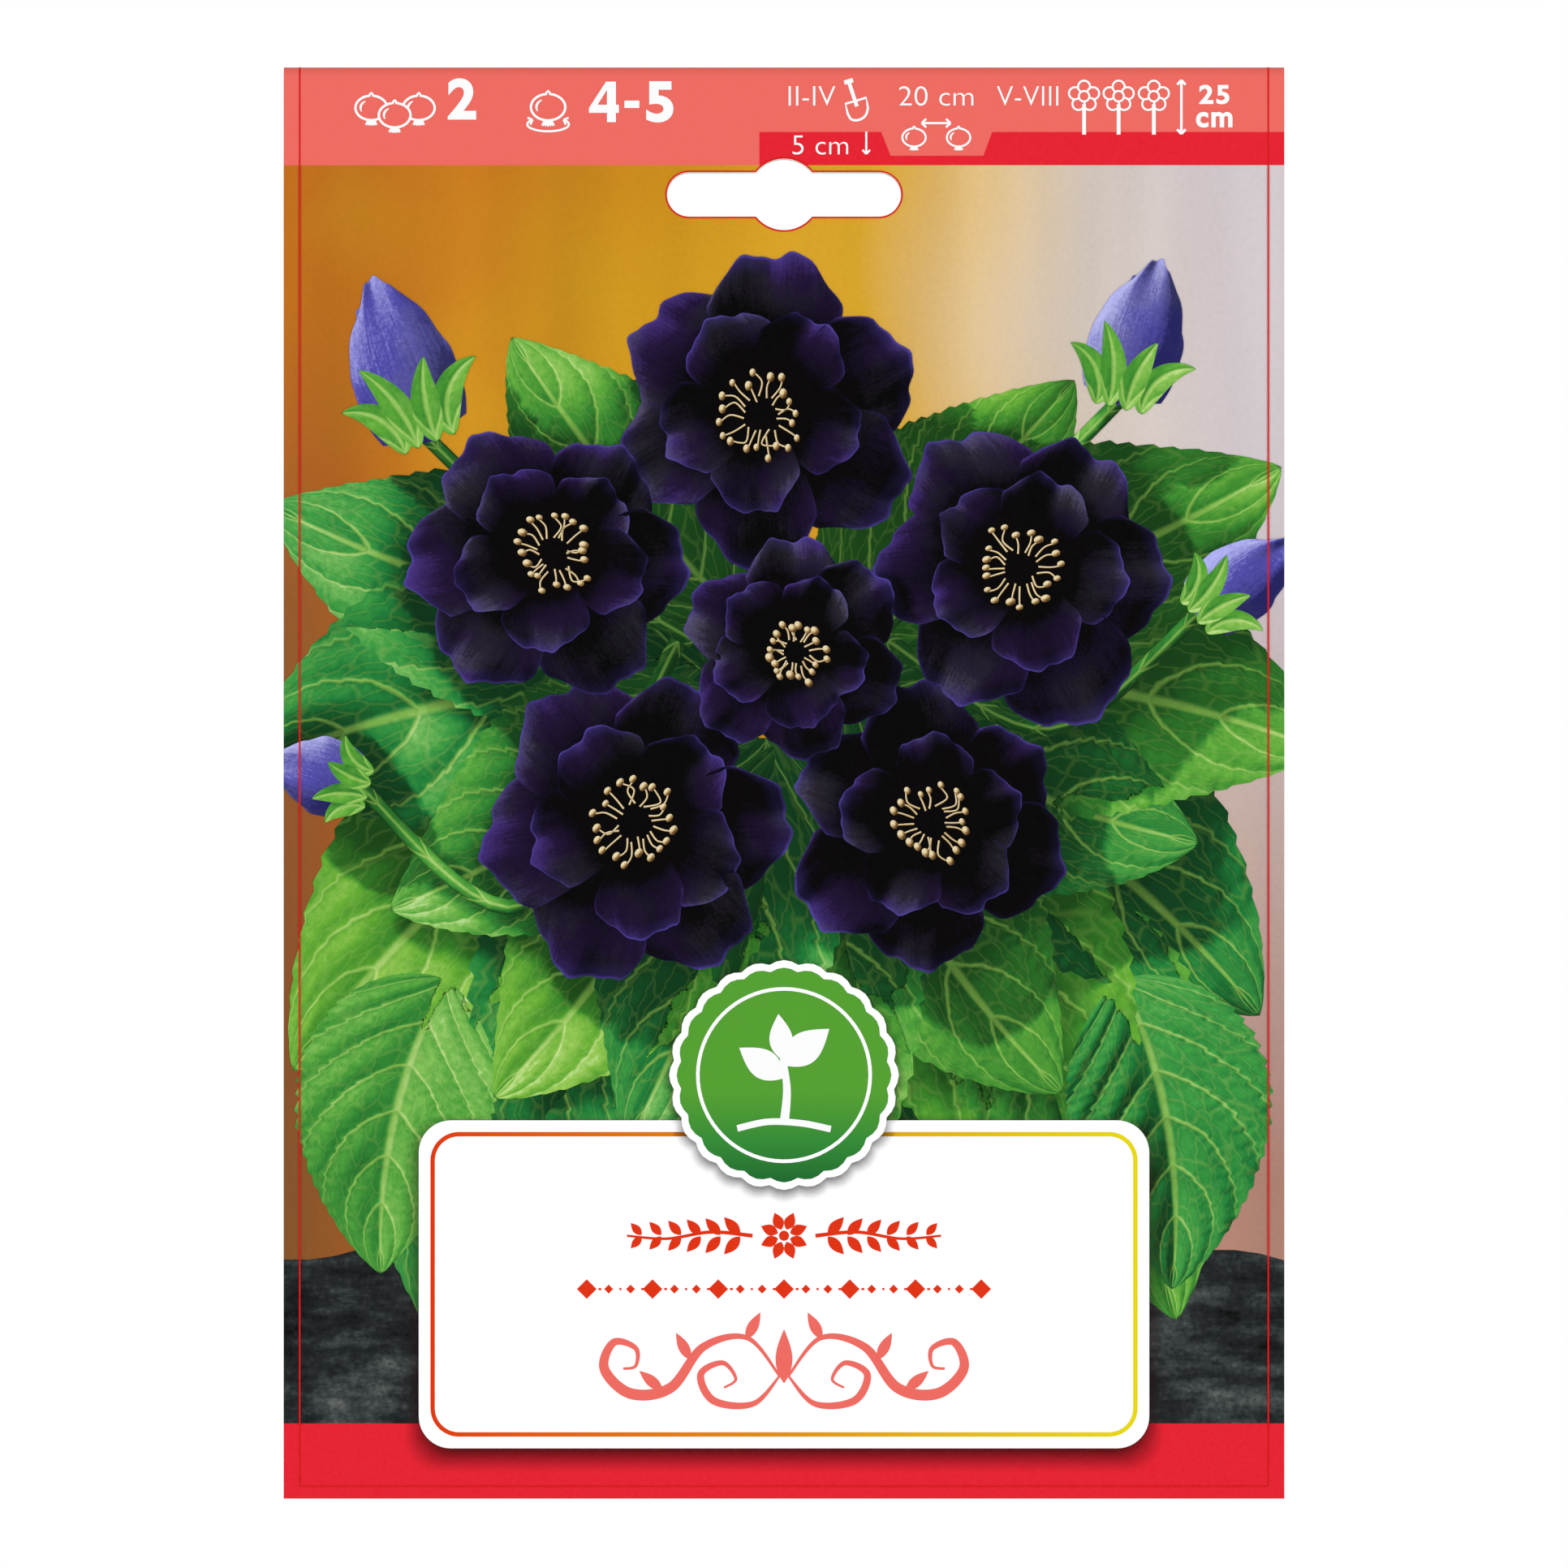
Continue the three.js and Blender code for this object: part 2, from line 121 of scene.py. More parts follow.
# ---- materials ----
class Value:
    """One output of a shader node. Its sums and its methods add the nodes that work it out."""

    def __init__(self, finish, socket):
        self.finish, self.socket = finish, socket

    def math(self, operation, other=0.0):
        return self.finish.node("Math", {0: self, 1: other}, operation=operation)

    def __add__(self, other):
        return self.math("ADD", other)

    def __sub__(self, other):
        return self.math("SUBTRACT", other)

    def __mul__(self, other):
        return self.math("MULTIPLY", other)

    def __pow__(self, other):
        return self.math("POWER", other)

    def axes(self):
        return [Value(self.finish, part) for part in self.finish.make("SeparateXYZ", {0: self}).outputs]

    def span(self, low, high, new_low=0.0, new_high=1.0):
        """The value drawn from low..high onto new_low..new_high and clamped there."""
        values = {"Value": self, "From Min": low, "From Max": high, "To Min": new_low, "To Max": new_high}
        return self.finish.node("MapRange", values)

    def noise(self, scale, detail=3.0, roughness=0.55, stretch=(1, 1, 1), output=0):
        drawn = self.finish.node("Mapping", {"Vector": self, "Scale": stretch})
        values = {"Vector": drawn, "Scale": scale, "Detail": detail, "Roughness": roughness}
        return self.finish.node("TexNoise", values, output)

    def cells(self, scale, share, drift, feature="F1"):
        """Distance in a pattern of cells, read at a vector mixed by a share with a drifting noise."""
        noise = self.noise(drift, 2.0, 0.5, output="Color")
        bent = self.finish.node("Mix", {0: share, 4: self, 5: noise}, 1, data_type="VECTOR")
        return self.finish.node("TexVoronoi", {"Vector": bent, "Scale": scale}, "Distance", feature=feature)

    def ramp(self, *stops):
        """A colour ramp through (position, colour) stops."""
        node = self.finish.make("ValToRGB", {0: self})
        elements = node.color_ramp.elements
        while len(elements) < len(stops):
            elements.new(0.5)
        for element, (position, colour) in zip(elements, stops):
            element.position = position
            element.color = rgba(colour)
        return Value(self.finish, node.outputs[0])

    def mix(self, a, b):
        """Colour a where the value is 0, and colour b where it is 1."""
        a, b = (colour if isinstance(colour, Value) else rgba(colour) for colour in (a, b))
        return self.finish.node("Mix", {0: self, 6: a, 7: b}, 2, data_type="RGBA")


class Finish:
    """A Principled material that is filled in node by node."""

    def __init__(self, name, roughness, specular=0.5, **more):
        self.material = bpy.data.materials.new(name)
        self.material.use_nodes = True
        self.tree = self.material.node_tree
        self.set({"Roughness": roughness, "Specular IOR Level": specular, **more})
        self.place = self.node("TexCoord", {}, "Object")

    def put(self, node, values):
        for socket, value in values.items():
            if isinstance(value, Value):
                self.tree.links.new(value.socket, node.inputs[socket])
            else:
                node.inputs[socket].default_value = value
        return node

    def set(self, values):
        self.put(self.tree.nodes["Principled BSDF"], values)

    def make(self, kind, values, **settings):
        node = self.tree.nodes.new("ShaderNode" + kind)
        for setting, value in settings.items():
            setattr(node, setting, value)
        return self.put(node, values)

    def node(self, kind, values, output=0, **settings):
        return Value(self, self.make(kind, values, **settings).outputs[output])

    def read(self, name, output="Fac"):
        return self.node("Attribute", {}, output, attribute_name=name)

    def vector(self, *parts):
        return self.node("CombineXYZ", dict(enumerate(parts)))

    def bump(self, height, distance, strength):
        values = {"Height": height, "Distance": distance, "Strength": strength}
        self.set({"Normal": self.node("Bump", values)})

    def colour(self, value):
        self.set({"Base Color": value if isinstance(value, Value) else rgba(value)})
        return self.material


def printed(name, colour=None, roughness=0.42):
    """Ink under a thin satin varnish: a faint mottle in its depth and in its gloss. Returns the finish."""
    finish = Finish(name, roughness, 0.05)
    gloss = finish.place.noise(900, 4).span(0.3, 0.7, roughness - 0.07, roughness + 0.07)
    finish.set({"Roughness": gloss})
    if colour is not None:
        finish.colour(finish.place.noise(1800, 2).span(0.25, 0.75, 0.0, 0.008).mix(colour, (1, 1, 1)))
    return finish


def gradient_ink(name, axis, low, high, *stops):
    """Ink whose colour runs along one axis of the card, from low to high in millimetres."""
    finish = printed(name)
    return finish.colour(finish.place.axes()[axis].span(low * MM, high * MM).ramp(*stops))


# ---- meshes ----
def quads(index):
    """Quads between neighbouring entries of the last two axes of an array of point numbers."""
    corners = [index[..., :-1, :-1], index[..., :-1, 1:], index[..., 1:, 1:], index[..., 1:, :-1]]
    return joined(*corners).reshape(-1, 4)


def read_array(collection, field, kind):
    """Three values of each entry of a mesh's vertices or triangles, one row for each."""
    values = np.zeros(len(collection) * 3, kind)
    collection.foreach_get(field, values)
    return values.reshape(-1, 3)


class Surface:
    """Points, faces and point values of one piece, gathered part by part."""

    def __init__(self):
        self.points, self.faces, self.values, self.count = [], [], {}, 0

    def add(self, points, faces, **values):
        points = np.reshape(points, (-1, 3))
        self.points.append(points)
        self.faces += [some + self.count for some in faces]
        for name, value in values.items():
            self.values.setdefault(name, []).append(np.reshape(value, (len(points), -1)))
        self.count += len(points)

    def grid(self, points, wrap=False, ends=False, **values):
        """A grid of points; wrap joins its last column to its first, and ends closes such a tube."""
        index = np.arange(points[..., 0].size).reshape(points.shape[:2])
        caps = [index[:1, ::-1], index[-1:]] if ends else []
        if wrap:
            index = np.concatenate([index, index[:, :1]], axis=1)
        self.add(points, [quads(index), *caps], **values)

    def slab(self, points, back, **values):
        """A front grid with straight sides all round and one flat back at y = back."""
        index = np.arange(points[..., 0].size).reshape(points.shape[:2])
        rim = np.concatenate([index[0, :-1], index[:-1, -1], index[-1, :0:-1], index[:0:-1, 0]])
        behind = index.size + np.arange(len(rim))
        walls = np.stack([np.roll(rim, -1), rim, behind, np.roll(behind, -1)], axis=1)
        every = np.append(index, rim)
        solid = points.reshape(-1, 3)[every]
        solid[index.size :, 1] = back
        values = {name: value.reshape(index.size, -1)[every] for name, value in values.items()}
        self.add(solid, [quads(index), walls, behind[None, ::-1]], **values)

    def bar(self, path, width, front, toward=-1.0, closed=False):
        """A flat line: a rectangle `width` wide carried along a path of (x, z), its face at y = front."""
        path = np.asarray(path, float)
        if closed:
            path = np.concatenate([path, path[:1]])
        way = np.gradient(path, axis=0)
        if closed:
            way[0] = way[-1] = path[1] - path[-2]
        side = unit(way)[:, ::-1] * (-1, 1) * (np.broadcast_to(width, len(path)) / 2)[:, None]
        left, right, rear = path + side, path - side, front - toward * INK
        corners = ((left, front), (right, front), (right, rear), (left, rear))
        sections = np.stack([np.insert(flat, 1, y, axis=1) for flat, y in corners], axis=1)
        self.grid(sections, wrap=True, ends=not closed)

    def plate(self, loops, front, toward=-1.0):
        """A flat plate with holes: the first loop of (x, z) is its outline and the others are cut out."""
        curve = bpy.data.curves.new("outline", "CURVE")
        curve.dimensions, curve.fill_mode, curve.extrude = "2D", "BOTH", INK / 2
        for loop in loops:
            spline = curve.splines.new("POLY")
            spline.points.add(len(loop) - 1)
            flat = np.column_stack([loop, np.zeros(len(loop)), np.ones(len(loop))])
            spline.points.foreach_set("co", flat.ravel())
            spline.use_cyclic_u = True
        self.outline(curve, front, toward)

    def outline(self, curve, front, toward=-1.0, fit=None):
        """Takes a filled curve or text in; fit draws its flat points to where they belong on the card."""
        holder = bpy.data.objects.new("holder", curve)
        mesh = bpy.data.meshes.new_from_object(holder)
        mesh.calc_loop_triangles()
        points = read_array(mesh.vertices, "co", float)
        triangles = read_array(mesh.loop_triangles, "vertices", int)
        flat = points[:, :2] if fit is None else fit(points[:, :2])
        depth = front - toward * INK / 2 + toward * points[:, 2]
        self.add(np.insert(flat, 1, depth, axis=1), [triangles])
        bpy.data.objects.remove(holder)
        bpy.data.meshes.remove(mesh)

    def letters(self, text, size, place, front, weight=0.0, gap=1.0):
        """Upright letters that fill a (width, height), centred on x and standing on z of their place."""
        curve = bpy.data.curves.new("letters", "FONT")
        curve.body, curve.size, curve.offset, curve.space_character = text, 10.0, weight, gap
        curve.extrude, curve.resolution_u = INK / 2, 5

        def fit(flat):
            low, high = flat.min(0), flat.max(0)
            return (flat - ((low[0] + high[0]) / 2, low[1])) / (high - low) * size + place

        self.outline(curve, front, fit=fit)

    def sheet(self, name, material):
        """Makes a piece of print on the board."""
        self.piece(name, material, "coated_board", smooth=False)

    def piece(self, name, material, slot=None, replaces=(), smooth=True, outward=True):
        """Makes the object: doubles merged and, unless they are right already, faces turned outward."""
        mesh = bpy.data.meshes.new(name)
        points = np.concatenate(self.points)
        mesh.vertices.add(len(points))
        mesh.vertices.foreach_set("co", points.astype(np.float32).ravel())
        sizes = np.concatenate([np.full(len(some), some.shape[1]) for some in self.faces])
        mesh.loops.add(int(sizes.sum()))
        mesh.loops.foreach_set("vertex_index", np.concatenate([some.ravel() for some in self.faces]))
        mesh.polygons.add(len(sizes))
        mesh.polygons.foreach_set("loop_start", np.concatenate([[0], np.cumsum(sizes)[:-1]]))
        mesh.update(calc_edges=True)
        for value_name, parts in self.values.items():
            value = np.concatenate(parts).astype(np.float32)
            kind, field = ("FLOAT_VECTOR", "vector") if value.shape[1] == 3 else ("FLOAT", "value")
            mesh.attributes.new(value_name, kind, "POINT").data.foreach_set(field, value.ravel())
        work = bmesh.new()
        work.from_mesh(mesh)
        bmesh.ops.remove_doubles(work, verts=work.verts, dist=1e-5)
        if outward:
            bmesh.ops.recalc_face_normals(work, faces=work.faces)
        work.to_mesh(mesh)
        work.free()
        mesh.transform(np.diag([MM, MM, MM, 1.0]))
        mesh.polygons.foreach_set("use_smooth", np.full(len(mesh.polygons), smooth))
        mesh.materials.append(material)
        mesh.update()
        obj = bpy.data.objects.new(name, mesh)
        bpy.context.scene.collection.objects.link(obj)
        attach(obj, "root")
        if replaces:
            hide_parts(*replaces)
        return obj


# ---- outlines on the card, as arrays of (x, z) ----
def arc(x, z, radius, start, end, steps=16):
    angle = np.radians(np.linspace(start, end, steps))
    return np.column_stack([x + radius * np.cos(angle), z + radius * np.sin(angle)])


def rectangle(left, right, low, high):
    return np.array([(left, low), (right, low), (right, high), (left, high)], float)


def rounded(box, inset, radius, steps=12):
    """A rectangle with round corners, inset from a box of left, right, low and high."""
    step = inset + radius
    left, right, low, high = box[0] + step, box[1] - step, box[2] + step, box[3] - step
    corners = ((right, low, -90), (right, high, 0), (left, high, 90), (left, low, 180))
    return np.concatenate([arc(x, z, radius, start, start + 90, steps) for x, z, start in corners])


def hump_angle(height, grow=SLOT_RIM):
    """Where the slot's round middle reaches a height above the slot's own middle, in degrees."""
    return math.degrees(math.asin(height / (SLOT_HUMP + grow)))


def slot_arcs(*arcs, grow=SLOT_RIM):
    """Parts of the slot's outline: each is a side (-1, 0 or 1 for the round middle), two angles and steps."""
    parts = []
    for side, start, end, steps in arcs:
        radius = SLOT_END if side else SLOT_HUMP
        parts.append(arc(side * SLOT_REACH, SLOT_MIDDLE, radius + grow, start, end, steps))
    return np.concatenate(parts)


def slot_outline(grow=SLOT_RIM):
    """The euro slot's outline, grown all round."""
    join = hump_angle(SLOT_END + grow, grow)
    upper, lower = (0, join, 180 - join, 30), (0, 180 + join, 360 - join, 30)
    return slot_arcs((1, -90, 90, 24), upper, (-1, 90, 270, 24), lower, grow=grow)


def over_hump(left, right, low, high):
    """A rectangle whose lower edge is notched by the top of the slot's round middle."""
    meet = hump_angle(low - SLOT_MIDDLE)
    notch = slot_arcs((0, 180 - meet, meet, 20))
    return np.concatenate([[(left, low)], notch, [(right, low), (right, high), (left, high)]])


def picture_outline():
    """The picture area with the slot's lower part bitten out of its upper edge, as one loop."""
    meet, join = hump_angle(PICTURE_TOP - SLOT_MIDDLE), hump_angle(SLOT_END + SLOT_RIM)
    ends = (1, 90, -90, 24), (-1, -90, -270, 24)
    bite = (0, meet, join, 8), ends[0], (0, -join, join - 180, 30), ends[1], (0, 180 - join, 180 - meet, 8)
    corners = rectangle(-EDGE, EDGE, PICTURE_BOTTOM, PICTURE_TOP)
    return np.concatenate([corners[3:], corners[:3], slot_arcs(*bite)])


def along(*points, steps=14):
    """A smooth path through points: a Catmull-Rom curve."""
    p = np.array([points[0], *points, points[-1]], float)
    t = np.linspace(0, 1, steps, endpoint=False)[:, None]
    parts = []
    for a, b, c, d in zip(p, p[1:], p[2:], p[3:]):
        square, cube = 2 * a - 5 * b + 4 * c - d, 3 * b - a - 3 * c + d
        parts.append(0.5 * (2 * b + (c - a) * t + square * t**2 + cube * t**3))
    return np.concatenate([*parts, p[-1:]])


# ---- the printed header ----
BARB = 0.75  # angle of an arrow's barbs to its line, in radians
SIGN_LINE, FINE_LINE, STEM_LINE = 0.33, 0.27, 0.52
BAND_LEFT = -3.37  # where the red band under the planting signs starts
NOTCH_SIDES, NOTCH_FOOT = (28.5, 27.3, 14.6, 13.3), 0.45  # of the coral notch in the band, from its right
FLAP_BAND = 7.5
SEAM = 0.002  # the flat parts of the coral stop this far short of the fold


class Signs:
    """Line drawings on the header, in white, and coral patches that hide what is behind a sign."""

    def __init__(self):
        self.lines, self.patches = Surface(), Surface()

    def bulb(self, x, z, width, line, lift=0.0):
        """A bulb in outline: a flattened round body with a short tip, a shine line and a brush of roots."""
        front = SIGN_FRONT - lift
        tip = np.array([(0.05, 0.42), (0.0, 0.475), (-0.05, 0.42)])
        body = np.concatenate([arc(0, 0, 1, 96, 444, 52) * (0.5, 0.385), tip]) * width + (x, z)
        if lift:
            self.patches.plate([body], front + INK)
        self.lines.bar(body, line, front, closed=True)
        shine = arc(0, 0, width, 122, 208, 14) * (0.34, 0.25) + (x, z)
        self.lines.bar(shine, np.sin(np.linspace(0.35, 2.8, 14)) * line, front)
        fan = np.linspace(-0.5, 0.5, 13)
        deep = np.where(np.arange(13) % 2 == 0, 0.58, 0.53) - 0.05 * np.abs(fan)
        brush = np.concatenate([np.column_stack([fan * 0.44, -deep]), [(0.12, -0.37), (-0.12, -0.37)]])
        self.lines.plate([brush * width + (x, z)], front - INK)

    def arrow(self, path, line, head, ends=1):
        """A line with an open head at its end, or at both ends."""
        self.lines.bar(path, line, SIGN_FRONT)
        for tip, before in ((path[-1], path[-2]), (path[0], path[1]))[:ends]:
            back = math.atan2(before[1] - tip[1], before[0] - tip[0])
            for number, turn in enumerate((back - BARB, back + BARB), 1):
                barb = tip + head * np.array([math.cos(turn), math.sin(turn)])
                self.lines.bar([barb, tip], line, SIGN_FRONT - number * INK)

    def flower(self, x, z, stem, line):
        """An outlined flower with five round petals on a straight stem."""
        for turn, middle in enumerate(arc(x, z, 1.3, 90, 378, 5)):
            petal = arc(*middle, 0.83, 72 * turn - 11, 72 * turn + 240, 20)
            self.lines.bar(petal, line, SIGN_FRONT - 0.001 * turn)
        self.lines.bar(arc(x, z, 0.72, 0, 345, 24), line, SIGN_FRONT - INK, closed=True)
        self.lines.bar([(x, z - 1.1), (x, stem)], STEM_LINE, SIGN_FRONT - 2 * INK)

    def trowel(self, line):
        """A trowel that leans: a cross grip, a shaft, and an outlined blade with a round end."""
        self.lines.bar([(8.25, 10.45), (9.45, 10.82)], 0.6, SIGN_FRONT)
        self.lines.bar([(8.86, 10.6), (9.98, 7.2)], STEM_LINE, SIGN_FRONT - INK)
        end = along((11.5, 6.95), (11.15, 5.95), (10.25, 5.36), (9.25, 5.42), (8.72, 6.2))
        blade = np.concatenate([[(8.42, 7.56), (11.25, 8.4)], end])
        self.lines.bar(blade, line, SIGN_FRONT - 2 * INK, closed=True)


def header_signs():
    """White planting signs and plain numbers, each where a buyer looks for it."""
    signs = Signs()
    for x, z, lift in ((-56.5, 7.0, 0), (-50.0, 7.0, 0), (-53.3, 6.0, 4 * INK)):
        signs.bulb(x, z, 4.35, SIGN_LINE, lift)
    signs.bulb(-32.3, 7.1, 4.7, SIGN_LINE)
    for x in (17.8, 23.9):
        signs.bulb(x, 2.95, 3.2, FINE_LINE)
    for x in (41.08, 45.81, 50.63):
        signs.flower(x, 8.6, 3.35, 0.28)
    signs.trowel(SIGN_LINE)
    sweep = arc(0, 0, 1, 138, 402, 44) * (2.85, 0.95) + (-32.3, 4.75)
    signs.arrow(sweep, 0.9 * SIGN_LINE, 0.75, ends=2)
    signs.arrow([(11.26, 3.75), (11.26, 0.7)], FINE_LINE, 0.75)
    signs.arrow([(18.85, 4.92), (22.8, 4.92)], 0.3, 0.85, ends=2)
    signs.arrow([(54.4, 3.45), (54.4, 10.8)], 0.35, 0.85, ends=2)
    texts = (  # width and height, middle and foot, weight and spacing of the letters
        ("II-IV", (6.4, 2.67), (3.83, 7.3), -0.11, 1.0),
        ("5 cm", (7.6, 2.6), (4.98, 0.62), -0.11, 1.0),
        ("20 cm", (10.2, 2.67), (20.83, 7.3), -0.11, 1.0),
        ("V-VIII", (8.4, 2.67), (33.35, 7.3), -0.11, 1.0),
        ("2", (3.9, 5.67), (-44.1, 5.4), 0.34, 1.0),
        ("5", (3.75, 5.65), (-17.0, 5.0), 0.34, 1.0),
        ("25", (4.15, 2.67), (58.9, 7.5), 0.3, 1.15),
        ("cm", (5.0, 2.15), (58.9, 4.3), 0.3, 1.12),
    )
    for text, size, place, weight, gap in texts:
        signs.lines.letters(text, size, place, SIGN_FRONT, weight, gap)
    four = [  # an open-topped four and its hole, as shares of its size
        (0.6, 0), (0.9, 0), (0.9, 0.23), (1, 0.23), (1, 0.43), (0.9, 0.43),
        (0.9, 1), (0.57, 1), (0, 0.35), (0, 0.23), (0.6, 0.23),
    ]
    hole = [(0.29, 0.43), (0.6, 0.43), (0.6, 0.8)]
    signs.lines.plate([np.array(loop) * (4.1, 5.55) + (-26.7, 5.05) for loop in (four, hole)], SIGN_FRONT)
    signs.lines.plate([rectangle(-21.85, -19.8, 7.0, 8.0)], SIGN_FRONT)
    return signs


def header_coat():
    """Coral over the header, as a half tube round the fold, and down the flap."""
    coat = Surface()
    coat.plate([over_hump(-EDGE, EDGE, PICTURE_TOP, FOLD - SEAM)], FACE - GROUND)
    coat.plate([rectangle(-EDGE, EDGE, FLAP_END, FOLD - SEAM), slot_outline()], FLAP + GROUND, toward=1.0)
    upper, under = (arc(0, FOLD, GROUND - FACE - depth, 180, 0, 25) for depth in (0, INK))
    tube = np.concatenate([upper, under[::-1]])
    coat.grid(np.stack([np.insert(tube, 0, x, axis=1) for x in (-EDGE, EDGE)]), wrap=True)
    for x in (-EDGE, EDGE):
        coat.grid(np.stack([np.insert(flat, 0, x, axis=1) for flat in (upper, under)]))
    return coat


def red_bands():
    """Bands under the header's signs, along the foot and along the flap's end."""
    bands = Surface()
    notch = list(zip(NOTCH_SIDES, (HEADER_BAND_TOP, NOTCH_FOOT, NOTCH_FOOT, HEADER_BAND_TOP)))
    outline = over_hump(BAND_LEFT, EDGE, PICTURE_TOP, HEADER_BAND_TOP)
    bands.plate([np.concatenate([outline[:-1], notch, outline[-1:]])], FACE - BAND)
    bands.plate([rectangle(-EDGE, EDGE, BOTTOM, PICTURE_BOTTOM)], FACE - GROUND)
    bands.plate([rectangle(-EDGE, EDGE, FLAP_END, FLAP_END + FLAP_BAND)], FLAP + BAND, toward=1.0)
    return bands


def trim_lines():
    """Fine lines near the side edges, from the foot over the fold to the flap's end; one near the lower edge;
    and one round the slot."""
    lines = Surface()
    side, low = EDGE - TRIM_INSET, BOTTOM + TRIM_FOOT
    front, rear = (
        np.concatenate([[(depth, PICTURE_TOP)], arc(0, FOLD, -depth, 180, 0, 25), [(-depth, FLAP_END)]])
        for depth in (SIGN_FRONT, SIGN_FRONT + INK)
    )
    y, z = np.moveaxis(np.stack([front, front, rear, rear], axis=1), -1, 0)
    corners = TRIM_WIDTH / 2 * np.array([-1, 1, 1, -1])
    for x in (-side, side):
        lines.grid(joined(x + corners, y, z), wrap=True, ends=True)
        lines.bar([(x, PICTURE_TOP), (x, PICTURE_BOTTOM)], TRIM_WIDTH, FACE - TRIM)
        lines.bar([(x, PICTURE_BOTTOM), (x, low)], TRIM_WIDTH, SIGN_FRONT)
    lines.bar([(-side, low), (side, low)], TRIM_WIDTH, SIGN_FRONT - INK)
    lines.bar(slot_outline(0.05 + TRIM_WIDTH / 2), TRIM_WIDTH, SIGN_FRONT, closed=True)
    return lines


def print_header(settings):
    """Coral over the header, the fold and the flap; red bands; the planting signs; and the trim lines."""
    coral = printed("coral ink", settings.header_colour).material
    header_coat().sheet("header_print", coral)
    red_bands().sheet("red_bands", printed("red ink", settings.band_colour).material)
    signs = header_signs()
    signs.lines.sheet("header_signs", printed("white ink", (0.97, 0.97, 0.97)).material)
    signs.patches.sheet("header_sign_patches", coral)
    trim_lines().sheet("trim_lines", printed("trim ink", "D81418").material)


# ---- the printed picture: a posy that is worked out in depth and then laid flat ----
LIGHT = unit(np.array([-0.46, 0.52, 0.72]))  # towards the light, as x, z and out of the card
HEART = -70.0  # height from which the leaves fan out
RING_MIDDLE, RING_SIZE = (0.0, -66.0), (34, 31)  # the ellipse on which the outer blooms stand
SLATE_TOP = -150.0
SEPAL_PATTERN = (0.22, 0.12, 1.0)  # sepals show a small plain part of a leaf's pattern
RASTER, RASTER_FLOOR = 0.5, -34.0
RASTER_LOW, RASTER_SIZE = (-190.0, -80.0), (400, 320)  # of its rows and of its columns


def turned(points, angle, x=0.0, z=0.0, height=0.0, tilt=0.0, lean=0.0):
    """Points as (x, z, height): tilted about their z axis, leant about their x axis, turned in the card."""
    for a, b, turn in ((2, 0, tilt), (1, 2, lean), (0, 1, angle)):
        points = spin(points, a, b, math.radians(turn))
    return points + (x, z, height)


def shares(rows, columns):
    """The share of a blade's length at each row, and of its half width at each column."""
    return np.linspace(0.0, 1.0, rows)[:, None], np.linspace(-1.0, 1.0, columns)[None, :]


def leaf_blade(length, width, bend, droop, tone, rows=109, columns=27, teeth=24, veins=6.5):
    """An oval blade. Its midrib is an arc; half the width is a sine of the length, with small saw teeth; the
    height is a keel at the midrib, a bulge between side veins, a wave at the rim and a droop to the tip."""
    v, u = shares(rows, columns)
    side, heading, step = np.abs(u), bend * (v - 0.5), length / (rows - 1)
    tooth = 1 + 0.055 * ((v * teeth) % 1 - 0.4) * smoothstep(0.04, 0.2, v)
    half = width / 2 * np.sin(np.pi * v**0.74) ** 0.8 * tooth
    x = np.cumsum(np.sin(heading), axis=0) * step + u * half * np.cos(heading)
    z = np.cumsum(np.cos(heading), axis=0) * step - u * half * np.sin(heading)
    quilt = np.abs(np.sin(np.pi * veins * (v - 0.34 * side**1.35))) ** 0.8 * (1 - 0.4 * side**2)
    height = 0.3 * half * side**0.8 + 0.076 * half * quilt * np.minimum(1, 3 * side)
    height = height + 0.05 * half * np.sin(9 * v + 2 * u) * side**2 - droop * v**2
    return joined(x, z, height), joined(u, v, tone)


def petal_blade(length, width, lift, curl, phase):
    """A broad petal. Half the width grows as a root of the length; the tip is an arc; the height is a lift,
    a curl back at the tip, sides that rise, and two ruffles that grow towards the rim."""
    t, s = shares(38, 31)
    scallop = 0.03 * np.sin(7 * s + phase) + 0.009 * np.sin(17 * s + 2 * phase)
    x = s * width / 2 * t**0.62 * (1 - 0.2 * t**4)
    z = length * t * (1 - 0.3 * np.abs(s) ** 2.6 * t + scallop * t**3)
    height = lift * t**0.8 - curl * t**3.5 + 0.1 * width * s**2 * t
    height = height + 1.15 * t**3 * (np.sin(4.2 * s + phase) + 0.16 * t**3 * np.sin(13 * s + 2.3 * phase))
    return joined(x, z, height), joined(s, t, np.maximum(t**9, np.abs(s) ** 14 * t**2))


def bud_blade(length, radius):
    """A petal of a closed bud: it swells and closes along its length, and bulges as the root of a circle."""
    t, s = shares(50, 31)
    swell = np.sin(np.pi * (0.12 + 0.8 * t)) ** 0.7
    x = s * radius * swell * (1 + 0.02 * np.sin(17 * t)) + 0.05 * length * t**2
    z = length * t * (1 - 0.14 * s**2 * t) + 0.25 * np.sin(9 * s) * t**4
    height = 0.75 * radius * np.sqrt(1 - (0.93 * s) ** 2) * swell**0.6 - 0.12 * radius * np.cos(5 * s) * t**3
    return joined(x, z, height), joined(s, t, np.maximum(np.abs(s) ** 9 * t**0.5, t**11))


def disc(count):
    """A square grid drawn onto a round of radius 1: its two axes and the distance from the middle."""
    u, v = np.meshgrid(np.linspace(-1, 1, count), np.linspace(-1, 1, count))
    x, z = u * np.sqrt(1 - v**2 / 2), v * np.sqrt(1 - u**2 / 2)
    return x, z, np.hypot(x, z)


